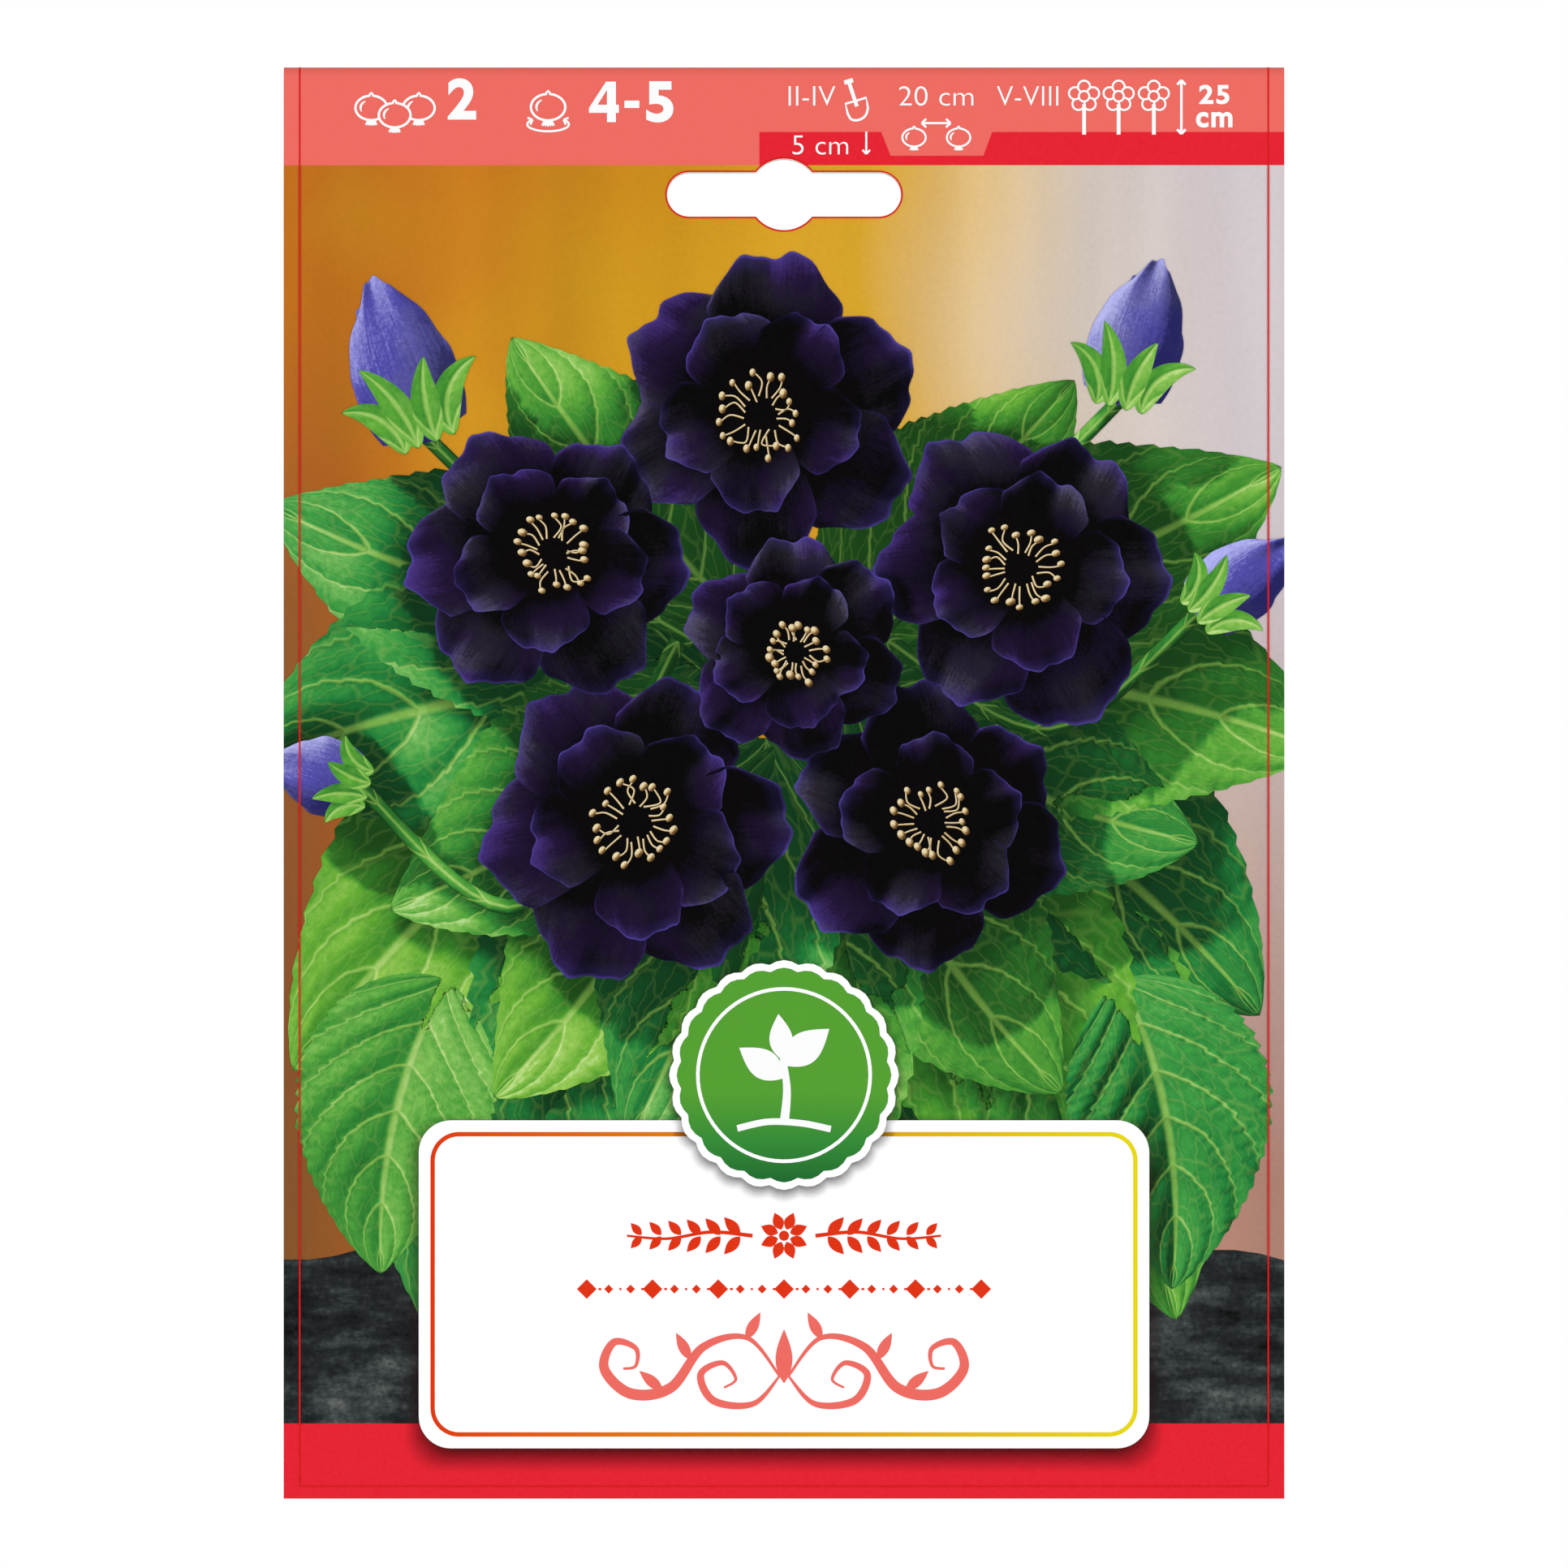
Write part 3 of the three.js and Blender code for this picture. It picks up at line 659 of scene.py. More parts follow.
def stalk(points, start, end, height):
    """A round stalk along a path of (x, z): its height is a half circle across its width."""
    path = along(*points, steps=10)
    way = unit(np.gradient(path, axis=0))
    v = np.linspace(0, 1, len(path))[:, None]
    radius = (start + (end - start) * v) / 2
    a = np.linspace(-math.pi / 2, math.pi / 2, 9)[None, :]
    x = path[:, :1] + way[:, 1:] * radius * np.sin(a)
    z = path[:, 1:] - way[:, :1] * radius * np.sin(a)
    return joined(x, z, height + radius * np.cos(a)), joined(np.sin(a) * 0.2, v, 0.5)


def leaf_fans():
    """Where each leaf starts, its angle, length, width, bend and height, from the rear to the front."""
    low = (
        (22, -99, 152, 66, 38, 0.5, -26), (8, -98, 172, 60, 34, -0.3, -28),
        (46, -112, 168, 44, 27, 0.5, -23),
    )
    for (x, z, angle, *size, bend, height), side in product(low, (-1, 1)):
        yield -side * x, z, side * angle, *size, -side * bend, height
    pairs = (
        (128, 76, 44, 0.5, -24), (158, 82, 46, 0.3, -21), (96, 70, 42, 0.4, -17), (66, 62, 36, -0.4, -19),
        (142, 62, 37, -0.5, -10), (112, 56, 34, -0.5, -8),
    )
    fans = [(s * angle, *size, -s * bend, rise) for (angle, *size, bend, rise), s in product(pairs, (-1, 1))]
    fans += [(180, 74, 42, 0.15, -13), (-40, 50, 28, -0.3, -16), (40, 50, 28, 0.3, -16)]
    fans += [(-172, 58, 32, -0.3, -4), (166, 60, 33, 0.4, -3)]
    for angle, *rest in fans:
        way = math.radians(angle)
        yield -9 * math.sin(way), HEART + 9 * math.cos(way), angle, *rest


def posy():
    """The motifs as (kind, points, pattern): leaves fanned out, buds at the sides, then a ring of blooms."""
    random = np.random.default_rng(7)
    made = []

    def place(kind, blade, *where, **how):
        points, pattern = blade
        made.append((kind, turned(points, *where, **how), pattern))

    for x, z, angle, length, width, bend, height in leaf_fans():
        tone = 0.1 + 0.75 * random.random()
        angle, length = angle + random.normal(0, 4), length * (0.92 + 0.14 * random.random())
        width, droop = width * (0.92 + 0.14 * random.random()), 5 + 3 * random.random()
        tilt = math.copysign(12, math.sin(math.radians(angle))) + random.normal(0, 4)
        place("leaves", leaf_blade(length, width, bend, droop, tone), angle, x, z, height, tilt=tilt)

    buds = (-49, -38, 22, 23, 8.8), (46, -33, -13, 20, 7.8), (-58, -86, 76, 13, 6.2), (57, -62, -50, 16, 6.6)
    for x, z, angle, length, radius in buds:
        (east,), (down,) = arc(0, 0, 1, angle, angle, 1), arc(0, 0, 1, angle - 90, angle - 90, 1)
        foot = x + 8.8 * down[0] - math.copysign(14, x), z - 16
        place("leaves", stalk([(0.25 * x, -66), foot, (x, z)], 2.4, 2.0, 2), 0)
        for turn, share, shift, rise in ((-17, 0.86, -0.3, 0), (15, 0.9, 0.34, 0.6), (0, 1.0, 0.0, 2.4)):
            at = (x, z) + shift * radius * east
            place("buds", bud_blade(length * share, radius * 0.78), angle + turn, *at, 9 + rise)
        for turn, size, rise in ((34, 0.5, 0.0), (-36, 0.54, 0.2), (15, 0.6, 1.4), (-12, 0.52, 1.9)):
            points, pattern = leaf_blade(length * size, radius * 0.46, -0.045 * turn, -1.5, 0.6, 41, 11, 1, 2)
            at = (x, z) + 1.5 * down - 0.012 * turn * radius * east
            place("leaves", (points, pattern * SEPAL_PATTERN), angle + turn, *at, 11 + radius * 0.5 + rise)

    ring = (93, 21, -8, 8), (160, 19, 9, 10), (236, 21.5, 11, 13), (304, 19.5, -10, 14), (16, 21, -11, 11)
    for around, radius, tilt, height in ring:
        x, z = (arc(0, 0, 1, around, around, 1) * RING_SIZE + RING_MIDDLE)[0]
        bloom(place, random, x, z, radius, tilt, height, around - 90)
    bloom(place, random, 1.5, -67.5, 15.5, 0, 22, 40)
    return made


def bloom(place, random, x, z, radius, tilt, height, facing):
    """An open flower: two rows of broad petals, a heart whose height is a cosine of the distance, and a ring
    of stamens, each a bent thread with a knob that falls off with the distance squared."""
    rows = ((6, 1.0, 0, 1.04, 6, 4.8), (5, 0.68, 3.5, 1.12, 6.5, 2.4))
    for count, share, rise, breadth, lift, curl in rows:
        start = random.random() * 60
        for number in range(count):
            length = radius * share * (0.94 + 0.12 * random.random())
            blade = petal_blade(length, length * breadth, lift * share, curl * share, 6.3 * random.random())
            angle = start + 360 * number / count + random.normal(0, 4)
            petal = turned(blade[0], angle, height=rise, tilt=9), blade[1]
            place("blooms", petal, facing, x, z, height, tilt=tilt, lean=random.normal(-5, 1.5))
    east, north, out = disc(17)
    dome = joined(0.16 * radius * east, 0.16 * radius * north, 6.0 + 2.0 * np.cos(out * math.pi / 2))
    place("blooms", (dome, joined(0.0, 0.16 * out, 0.0)), facing, x, z, height, tilt=tilt)
    for number in range(20):
        way = 2 * math.pi * (number + 0.5 * random.random()) / 20
        tip = radius * (0.2 + 0.1 * random.random()) * np.array([math.cos(way), math.sin(way)])
        side = tip[::-1] * (-1, 1) * random.normal(0, 0.12)
        thread = stalk([tip * 0.45, tip * 0.75 + side, tip], 0.3, 0.22, 8.0)
        east, north, out = np.array(disc(8)) * (0.36 + 0.18 * random.random())
        knob = joined(tip[0] + east, tip[1] + 1.3 * north, 9.8 - 2 * out**2)
        for part in (thread, (knob, np.zeros_like(knob))):
            place("stamens", part, facing, x, z, height + 1, tilt=tilt)


def raster_cell(x, z):
    """Row and column of the raster under points of the card."""
    parts = zip((z, x), RASTER_LOW, RASTER_SIZE)
    return tuple(np.clip(((value - low) / RASTER).astype(int), 0, size - 1) for value, low, size in parts)


def raster_heights(made):
    """The highest point of the posy over each half millimetre of the card, with gaps closed."""
    heights = np.full(RASTER_SIZE, RASTER_FLOOR)
    for _, points, _ in made:
        x, z, height = points.reshape(-1, 3).T
        np.maximum.at(heights, raster_cell(x, z), height)
    for axis in (0, 1, 0, 1):
        heights = np.maximum(heights, np.maximum(np.roll(heights, 1, axis), np.roll(heights, -1, axis)))
    return heights


def blurred(heights, reach):
    """A running mean over `reach` cells, twice along each axis."""
    for axis in (0, 1, 0, 1):
        heights = np.mean([np.roll(heights, shift, axis) for shift in range(-reach, reach + 1)], axis=0)
    return heights


def light_on(points, near, wide):
    """Brightness of each point: a lamp's share by the surface's turn to it, less its cast and close shadows.
    Returns the brightness and how far the surface turns away from the viewer."""
    normal = unit(np.cross(np.gradient(points, axis=1), np.gradient(points, axis=0)))
    normal *= np.where(normal[..., 2:] < 0, -1, 1)
    lit = np.clip(normal @ LIGHT, 0, 1)
    x, z, height = np.moveaxis(points, -1, 0)
    shadow = 0
    for distance in (2.5, 5.0, 8.0, 12.0):
        blocker = near[raster_cell(x + distance * LIGHT[0] * 1.4, z + distance * LIGHT[1] * 1.4)]
        shadow = np.maximum(shadow, np.clip((blocker - height - 0.9 * distance - 1.0) / 7, 0, 1))
    close = np.clip((wide[raster_cell(x, z)] - height - 1.0) / 14, 0, 1)
    return (0.16 + 0.95 * lit) * (1 - 0.55 * shadow) * (1 - 0.6 * close), 1 - normal[..., 2]


def leaf_ink():
    """Printed foliage: the light on it picks dark to bright green, cooler on some leaves; pale veins and a
    net of finer ones follow the blade's own pattern, each side vein lit on its upper side."""
    finish = printed("leaf ink", roughness=0.4)
    place, shade = finish.place, finish.read("shade")
    u, v, tone = finish.read("pattern", "Vector").axes()
    side = u.math("ABSOLUTE")
    turns = (v + (place.noise(170) - 0.5) * 0.035 - side**1.35 * 0.34) * 6.5
    slope = turns.math("FRACT") - 0.5
    vein = slope.math("ABSOLUTE").span(0.44, 0.485) * side.span(0.45, 1.0, 1.0, 0.45)
    net = finish.vector(u * 6.0, turns * 2.2).cells(1.15, 0.12, 1.5, "DISTANCE_TO_EDGE")
    lines = vein.math("MAXIMUM", side.span(0.018, 0.055, 1.0, 0.0))
    lines = lines.math("MAXIMUM", net.span(0.01, 0.08, 0.27, 0.0))
    relief = (place.noise(70) - 0.5) * 0.35 + slope * 0.24 - net.span(0.0, 0.3, 0.06, -0.04)
    relief = relief + place.noise(1300, 2).span(0.3, 0.7, -0.06, 0.06)
    depth = shade * 0.74 + tone * 0.14 + relief * shade
    steps = (0.0, 0.22, 0.45, 0.68, 0.9, 1.0)
    warm = depth.ramp(*zip(steps, ("0A180A", "1B4816", "3C882A", "66AC34", "92C652", "B6DC84")))
    cool = depth.ramp(*zip(steps, ("06140A", "0F421E", "1F7C38", "409C44", "78BC5E", "A6D48C")))
    pale = depth.ramp((0.0, "24481C"), (0.5, "94C456"), (1.0, "DCEC9E"))
    return finish.colour((lines * 0.66).mix(tone.span(0.7, 0.3).mix(warm, cool), pale))


def petal_ink(name, dark, middle, rim_colour, bright, heart=0.35, dusk=0.8):
    """Printed velvet petals: nearly black in the heart, lighter where they turn to the light, and at the rim.
    heart is the share of light that reaches the foot of a petal; dusk is how grey its dull patches are."""
    finish = printed(name, roughness=0.4)
    place, shade = finish.place, finish.read("shade")
    s, t, rim = finish.read("pattern", "Vector").axes()
    streak, grain = finish.vector(s * 24.0, t * 3.0).noise(1.0, 2), place.noise(2600, 4, 0.7)
    depth = shade * 0.7 + finish.read("turn") * 0.3 + (streak - 0.5) * 0.22 + (grain - 0.5) * 0.3
    depth = depth * t.span(0.15, 1.0, heart, 1.1)
    body = depth.ramp((0.0, dark), (0.42, dark), (0.72, middle), (1.0, bright))
    grey = place.noise(80, 3).span(0.45, 0.62, 0.0, dusk)
    muted = finish.node("HueSaturation", {"Saturation": 0.3, "Value": 0.8, "Fac": grey, "Color": body})
    edge = rim.span(0.3, 1.0, 0.0, 0.25) + rim.span(0.8, 0.97, 0.0, 0.6)
    edge = edge * shade.span(0.15, 0.8, 0.15, 1.0) * place.noise(130).span(0.35, 0.6, 0.35, 1.0)
    return finish.colour(edge.mix(muted, rim_colour))


def stamen_ink():
    """Printed stamens: brown in the shade and cream in the light."""
    finish = printed("stamen ink")
    return finish.colour(finish.read("shade").ramp((0.1, "2E1C10"), (0.5, "9C7844"), (0.95, "E8D6AA")))


def wash_ink(settings):
    """The soft ground of the picture: warm at one side, pale and cool at the other, with drifting patches."""
    finish = printed("wash ink")
    place = finish.place
    x, _, z = place.axes()
    run = x + (place.noise(14, 1) - 0.5) * 0.045 + z * 0.12
    stops = [(0.0, "BC661C"), (0.25, settings.wash_warm), (0.5, "D0921C"), (0.66, "DCA82C")]
    stops += [(0.76, "DDC090"), (0.85, settings.wash_cool), (1.0, "D2C8CC")]
    colour = run.span(-0.085, 0.062).ramp(*stops)
    warm, patch = run.span(-0.03, 0.02, 1.0, 0.0), place.noise(20, 2, 0.4)
    for share, tint in (
        (patch.span(0.5, 0.3, 0.0, 0.75) * warm, "C8601A"),
        (patch.span(0.52, 0.7, 0.0, 0.75) * warm, "D2A222"),
        (z.span(-0.05, -0.14, 0.0, 0.7), "A2501F"),
        (x.span(-0.052, -EDGE * MM, 0.0, 0.6) * z.span(-0.02, -0.06), "5C4A34"),
    ):
        colour = share.mix(colour, tint)
    drape, grain = place.noise(55, 2, 0.5, stretch=(1, 1, 0.12)), place.noise(1500, 2)
    tone = drape.span(0.3, 0.7, 0.85, 1.07) + grain.span(0.3, 0.7, -0.025, 0.025)
    return finish.colour(finish.node("VectorMath", {0: colour, 3: tone}, operation="SCALE"))


def slate_ink():
    """Dark slate under the posy: fine level streaks over cloudy grey."""
    finish = printed("slate ink")
    cloud, grain = finish.place.noise(60, 5, 0.65), finish.place.noise(1400, 2)
    depth = cloud * 0.45 + finish.place.noise(110, 6, 0.7, stretch=(1, 1, 4)) * 0.4 + grain * 0.15
    return finish.colour(depth.ramp((0.38, "0C0E0D"), (0.49, "25292A"), (0.56, "3D4242"), (0.66, "6A6E6C")))


def print_picture(settings):
    """The picture's wash and slate, and the posy laid flat on them in its order of depth. The slate's upper
    edge is a low cosine with a fine sine on it."""
    ground, slate = Surface(), Surface()
    ground.plate([picture_outline()], FACE - GROUND)
    ground.sheet("picture_wash", wash_ink(settings))
    x = np.linspace(EDGE, -EDGE, 41)
    brow = joined(x, SLATE_TOP + 5.5 * np.cos(x / EDGE * 1.7) + 0.5 * np.sin(x / 3.1))
    slate.plate([np.concatenate([[(-EDGE, PICTURE_BOTTOM), (EDGE, PICTURE_BOTTOM)], brow])], FACE - BAND)
    slate.sheet("picture_slate", slate_ink())

    made = posy()
    raster = raster_heights(made)
    near, wide = blurred(raster, 2), blurred(raster, 9)
    reach = max(points[..., 2].max() for _, points, _ in made) - RASTER_FLOOR
    dark, violet, rim = settings.bloom_dark, settings.bloom_violet, settings.bloom_rim
    inks = {
        "leaves": leaf_ink(),
        "blooms": petal_ink("bloom ink", dark, violet, rim, "452F78"),
        "buds": petal_ink("bud ink", "25235E", "5450AC", "9A98E4", "B2B4F4", 1.15, 0.25),
        "stamens": stamen_ink(),
    }
    groups = {kind: Surface() for kind in inks}
    for kind, points, pattern in made:
        shade, turn = light_on(points, near, wide)
        x, z, height = np.moveaxis(points, -1, 0)
        layer = RELIEF_LOW + (RELIEF_HIGH - RELIEF_LOW) * (height - RASTER_FLOOR) / reach
        flat = joined(np.clip(x, -EDGE, EDGE), FACE - layer, np.maximum(z, PICTURE_BOTTOM))
        groups[kind].slab(flat, FACE - RELIEF_LOW + INK, pattern=pattern, shade=shade, turn=turn)
    for kind, surface in groups.items():
        surface.sheet("printed_" + kind, inks[kind])


# ---- the label and the badge ----
LABEL_BOX = (-50.0, 50.0, -176.5, -131.6)
SPRIG_ROW, LOZENGE_ROW, FLOURISH_ROW = -147.4, -154.7, -165.0
BADGE_AT, BADGE_RADIUS = (0.0, -125.4), 15.2
FLAP_BOX, FLAP_RULES = (-52.0, 52.0, -33.5, -13.5), (-18.6, -23.6, -28.6)


def soft_shadow(surface, loop, grow, drop, front, depth):
    """Rings round an outline that is lowered by `drop`, from well inside it to `grow` outside, with a clear
    back; the value `fade` falls from `depth`, at `drop` inside, to nothing at the outermost ring."""
    middle = loop.mean(0)
    away = loop - middle
    size = np.abs(away).max(0)
    reach = np.linspace(-2 * drop - 2.0, grow, 26)
    fade = depth * np.clip((grow - reach) / (grow + drop), 0, 1) ** 1.3
    rings = [(step, front) for step in reach] + [(reach[-1], front + INK), (reach[0], front + INK)]
    flats = [np.insert(middle + away * (size + step) / size - (0, drop), 1, y, axis=1) for step, y in rings]
    points = np.stack(flats, axis=1)
    points = np.concatenate([points, points[:1]])
    surface.grid(points, wrap=True, fade=np.broadcast_to(np.append(fade, [0, 0]), points.shape[:2]))


def shadow_ink():
    finish = printed("shadow ink", "2C0406")
    finish.set({"Alpha": finish.read("fade")})
    return finish.material


def leaf_shape(x, z, length, width, angle):
    """A pointed oval from (x, z) outwards, as a loop: half its width is a sine of the length."""
    t = np.linspace(0, 1, 18)
    up = np.column_stack([length * t, width / 2 * np.sin(np.pi * t**0.85)])
    return spin(np.concatenate([up, up[-2:0:-1] * (1, -1)]), 0, 1, math.radians(angle)) + (x, z)


def label_ornaments():
    """A rosette between two sprigs, a row of lozenges, and a flourish, for the red, thin and coral rows."""
    front = FACE - LABEL_INK
    red, coral = Surface(), Surface()
    z = SPRIG_ROW
    for turn, foot in enumerate(arc(0, z, 0.9, 22.5, 337.5, 8)):
        red.plate([leaf_shape(*foot, 2.5, 1.5, 45 * turn + 22.5)], front)
    red.plate([arc(0, z, 0.7, 0, 345, 20)], front)
    for side in (-1, 1):
        stem = along((4.3, 0), (10, 0.5), (16, -0.4), (21.5, 0)) * (side, 1) + (0, z)
        red.bar(stem, np.linspace(0.55, 0.3, len(stem)), front)
        for step, up in product(range(6), (-1, 1)):
            size = 3.3 - 0.22 * step, 1.5 - 0.08 * step
            lean = 90 - 90 * side + side * up * 48
            red.plate([leaf_shape(side * (6.0 + 2.7 * step), z + 0.1 * up, *size, lean)], front - INK)
    z = LOZENGE_ROW
    for step in range(-9, 10):
        x, size = step * 3.0, 0.62 if step % 3 else 1.35
        red.plate([np.array([(x - size, z), (x, z - size), (x + size, z), (x, z + size)])], front)
        if step < 9:
            start, end = (1.45, 1.75) if step % 3 else (1.6, 2.0)
            red.bar([(x + start, z), (x + end, z)], 0.3, front)
    z = FLOURISH_ROW
    outer = (
        (0.6, -1.6), (5, 3.6), (11, 2.4), (15.5, -3.2), (21, -4.0),
        (24.6, -0.6), (23.3, 3.0), (20.3, 2.2), (20.3, -0.2), (22.0, -0.6),
    )
    inner = (0.6, -1.6), (4.2, -5.4), (9.6, -5.0), (11.4, -1.4), (8.4, 0.2), (6.6, -2.0), (8.2, -3.2)
    curves = (along(*outer, steps=16), 0.35, 1.15, 0.8), (along(*inner), 0.3, 0.75, 0.7)
    for side in (-1, 1):
        for layer, (path, thin, thick, power) in enumerate(curves):
            swell = np.sin(np.pi * np.linspace(0, 1, len(path)) ** power) ** 2
            coral.bar(path * (side, 1) + (0, z), thin + thick * swell, front - layer * INK)
        for x, up, angle in ((12.8, 0.6, 62), (16.6, -3.6, 40), (5.2, 3.4, 118)):
            lean = angle if side > 0 else 180 - angle
            coral.plate([leaf_shape(side * x, z + up, 4.2, 1.5, lean)], front - 2 * INK)
    coral.plate([leaf_shape(0, z - 2.6, 7.4, 2.3, 90)], front - 3 * INK)
    return red, coral


def seal_outline():
    """A round whose radius grows by the size of a cosine of twelve times the angle: shallow scallops."""
    angle = np.linspace(0, 2 * math.pi, 96, endpoint=False)
    scallop = BADGE_RADIUS * (1 + 0.035 * np.abs(np.cos(12 * angle)))
    return joined(np.cos(angle), np.sin(angle)) * scallop[:, None] + BADGE_AT


def print_label(settings):
    """The white label with its soft shadow and two-colour outline, plain ornaments in place of words, and the
    white rim of the seal above it."""
    shade, white, outline = Surface(), Surface(), Surface()
    panel, seal = rounded(LABEL_BOX, 0, 4.4), seal_outline()
    soft_shadow(shade, panel, 2.1, 1.3, FACE - SHADOW, 0.72)
    soft_shadow(shade, seal, 1.3, 0.6, FACE - BADGE_RIM + INK, 0.55)
    shade.piece("print_shadows", shadow_ink(), "coated_board")

    white.plate([panel], FACE - LABEL)
    white.plate([seal], FACE - BADGE_RIM)
    white.sheet("white_label", printed("label white", (1.0, 1.0, 1.0)).material)

    outline.bar(rounded(LABEL_BOX, 1.9, 3.6, 16), 0.6, FACE - LABEL_INK, closed=True)
    stops = (0.0, settings.frame_left), (0.5, "DE8E10"), (1.0, settings.frame_right)
    outline.sheet("label_frame", gradient_ink("frame ink", 0, *LABEL_BOX[:2], *stops))

    red, coral = label_ornaments()
    red.sheet("label_sprigs", printed("ornament ink", settings.frame_left).material)
    coral.sheet("label_flourish", bpy.data.materials["coral ink"])


def print_seal(settings):
    """The green seal, darker at its foot, with a white ring and a three-leaved sprout on a line of ground."""
    green, sprout = Surface(), Surface()
    x, z = BADGE_AT
    green.plate([BADGE_AT + (seal_outline() - BADGE_AT) * (1 - 1.0 / BADGE_RADIUS)], FACE - BADGE)
    stops = (0.0, "1C642E"), (0.2, "348A36"), (0.42, settings.badge_colour), (1.0, settings.badge_colour)
    green.sheet("seal", gradient_ink("seal ink", 2, z - BADGE_RADIUS, z + BADGE_RADIUS, *stops))

    front = FACE - BADGE_INK
    sprout.bar(arc(x, z, 11.8, 0, 354, 72), 0.5, front, closed=True)
    stem = along((0, -6.8), (0.4, -2), (-0.2, 2.6)) + BADGE_AT
    sprout.bar(stem, np.linspace(1.3, 0.8, len(stem)), front)
    leaves = (-0.1, 1.4, 8.0, 4.4, 38), (0, -0.4, 7.4, 4.0, 146), (-0.1, 2.0, 6.4, 3.2, 96)
    for layer, (east, up, *size) in enumerate(leaves, 1):
        sprout.plate([leaf_shape(x + east, z + up, *size)], front - layer * INK)
    ground = along((-6.4, -7.3), (-2.2, -6.4), (2.4, -6.6), (6.4, -7.4)) + BADGE_AT
    sprout.bar(ground, 0.9, front - 4 * INK)
    sprout.sheet("seal_sprout", bpy.data.materials["white ink"])


def print_flap():
    """The back of the header: a bare white panel with a two-colour outline and three fine rules."""
    panel, outline = Surface(), Surface()
    panel.plate([rounded(FLAP_BOX, 0, 3.5)], FLAP + FLAP_PANEL, toward=1.0)
    panel.sheet("flap_panel", bpy.data.materials["label white"])
    outline.bar(rounded(FLAP_BOX, 1.5, 2.6), 0.42, FLAP + FLAP_LINE, toward=1.0, closed=True)
    for z in FLAP_RULES:
        outline.bar([(-44, z), (44, z)], 0.16, FLAP + FLAP_LINE, toward=1.0)
    outline.sheet("flap_panel_lines", bpy.data.materials["frame ink"])


def board_finish():
    """Uncoated side and cut edges of the board: off-white, with short fibres and a soft tooth."""
    finish = Finish("board", 0.82, 0.3)
    fibre = finish.place.noise(900, 4, stretch=(1, 1, 3.5))
    finish.bump(fibre, 0.00003, 0.5)
    shade = fibre * 0.75 + finish.place.noise(90, 3) * 0.25
    return finish.colour(shade.ramp((0.3, "DFDACF"), (0.5, "E9E5DC"), (0.7, "F0EDE6")))


# ---- the bag ----
WELD, WELD_TOP, WELD_DEPTH = 3.0, -174.5, 12.5  # width of the side welds; top and depth of the bottom one
BODY_TOP, BAG_WAIST = -48.0, 2.6
CLOSING = 26.0  # height over which the films close on the bottom weld
SWEPT = -122.0  # the sides are wholly swept back from here down
PARTED, PARTED_DEPTH = -76.0, 5.0  # where the films have parted below the header, and how far
PACK_TOP, PACK_FULL, PACK_DEPTH = -82.0, -128.0, 17.0
DRAWN_TOP, DRAWN_FULL = -88.0, -108.0  # where the back film starts to follow the tubers, and does wholly
TOUCH, STAND_OFF = 0.02, 0.36  # of a film from its inner face: at the welds, and on the body
VENT_ROWS, VENT_COLUMNS = (-66.0, -86.0), (-30.0, 0.0, 30.0)
Seat = namedtuple("Seat", "name radius depth at turn tilt crown")
SEATS = (
    Seat("tuber_left", 23.0, 25.0, (-24.3, 15.6, -146.0), turn=0.4, tilt=0.12, crown=1),
    Seat("tuber_right", 22.0, 24.0, (24.0, 15.4, -145.0), turn=2.1, tilt=-0.1, crown=-1),
)


def bag_half_width(z):
    """The header's half width, less a waist that is a squared sine of the way down the body."""
    share = np.clip((BODY_TOP - z) / (BODY_TOP - BAG_LOW[2]), 0, 1)
    return BAG_HIGH[0] - BAG_WAIST * np.sin(np.pi * share**1.3) ** 2


def closing(z):
    """0 on the body, and 1 where the films have closed on the bottom weld."""
    return 1 - np.clip((z - WELD_TOP) / CLOSING, 0, 1)


def film_front(x, z):
    """Inner face of the film by the card: flat, and swept back to the welds by powers of the distance."""
    sideways = smoothstep(BODY_TOP, SWEPT, z) * np.clip(np.abs(x) / bag_half_width(z), 0, 1) ** 5
    return WELD_DEPTH * (1 - (1 - sideways) * (1 - closing(z) ** 2.5))


def film_back(x, z):
    """Inner face of the back film: a pillow over the packing, drawn over the domes of the tubers."""
    clear = bag_half_width(z) - WELD
    across = np.sqrt(1 - np.clip(np.abs(x) / clear, 0, 1) ** 2.6)
    below = np.sqrt(1 - closing(z) ** 2.2)
    depth = PARTED_DEPTH * smoothstep(BODY_TOP, PARTED, z) + PACK_DEPTH * smoothstep(PACK_TOP, PACK_FULL, z)
    drawn = pillow = film_front(x, z) + depth * across * below
    rim, slack, blend = 0.93, 2.8, 2.4
    edge = math.sqrt(1 - rim**2)
    for seat in SEATS:
        reach = np.hypot(x - seat.at[0], z - seat.at[2]) / (seat.radius + slack)
        cone = edge - rim / edge * (reach - rim)
        dome = np.where(reach < rim, np.sqrt(1 - np.minimum(reach, rim) ** 2), cone)
        over = seat.at[1] + (seat.depth / 2 + slack) * dome
        drawn = (drawn + over + np.sqrt((drawn - over) ** 2 + blend**2)) / 2
    shown = smoothstep(0, 5, clear - np.abs(x)) * smoothstep(0, 5, z - WELD_TOP)
    return pillow + (drawn - pillow) * shown * smoothstep(DRAWN_TOP, DRAWN_FULL, z)


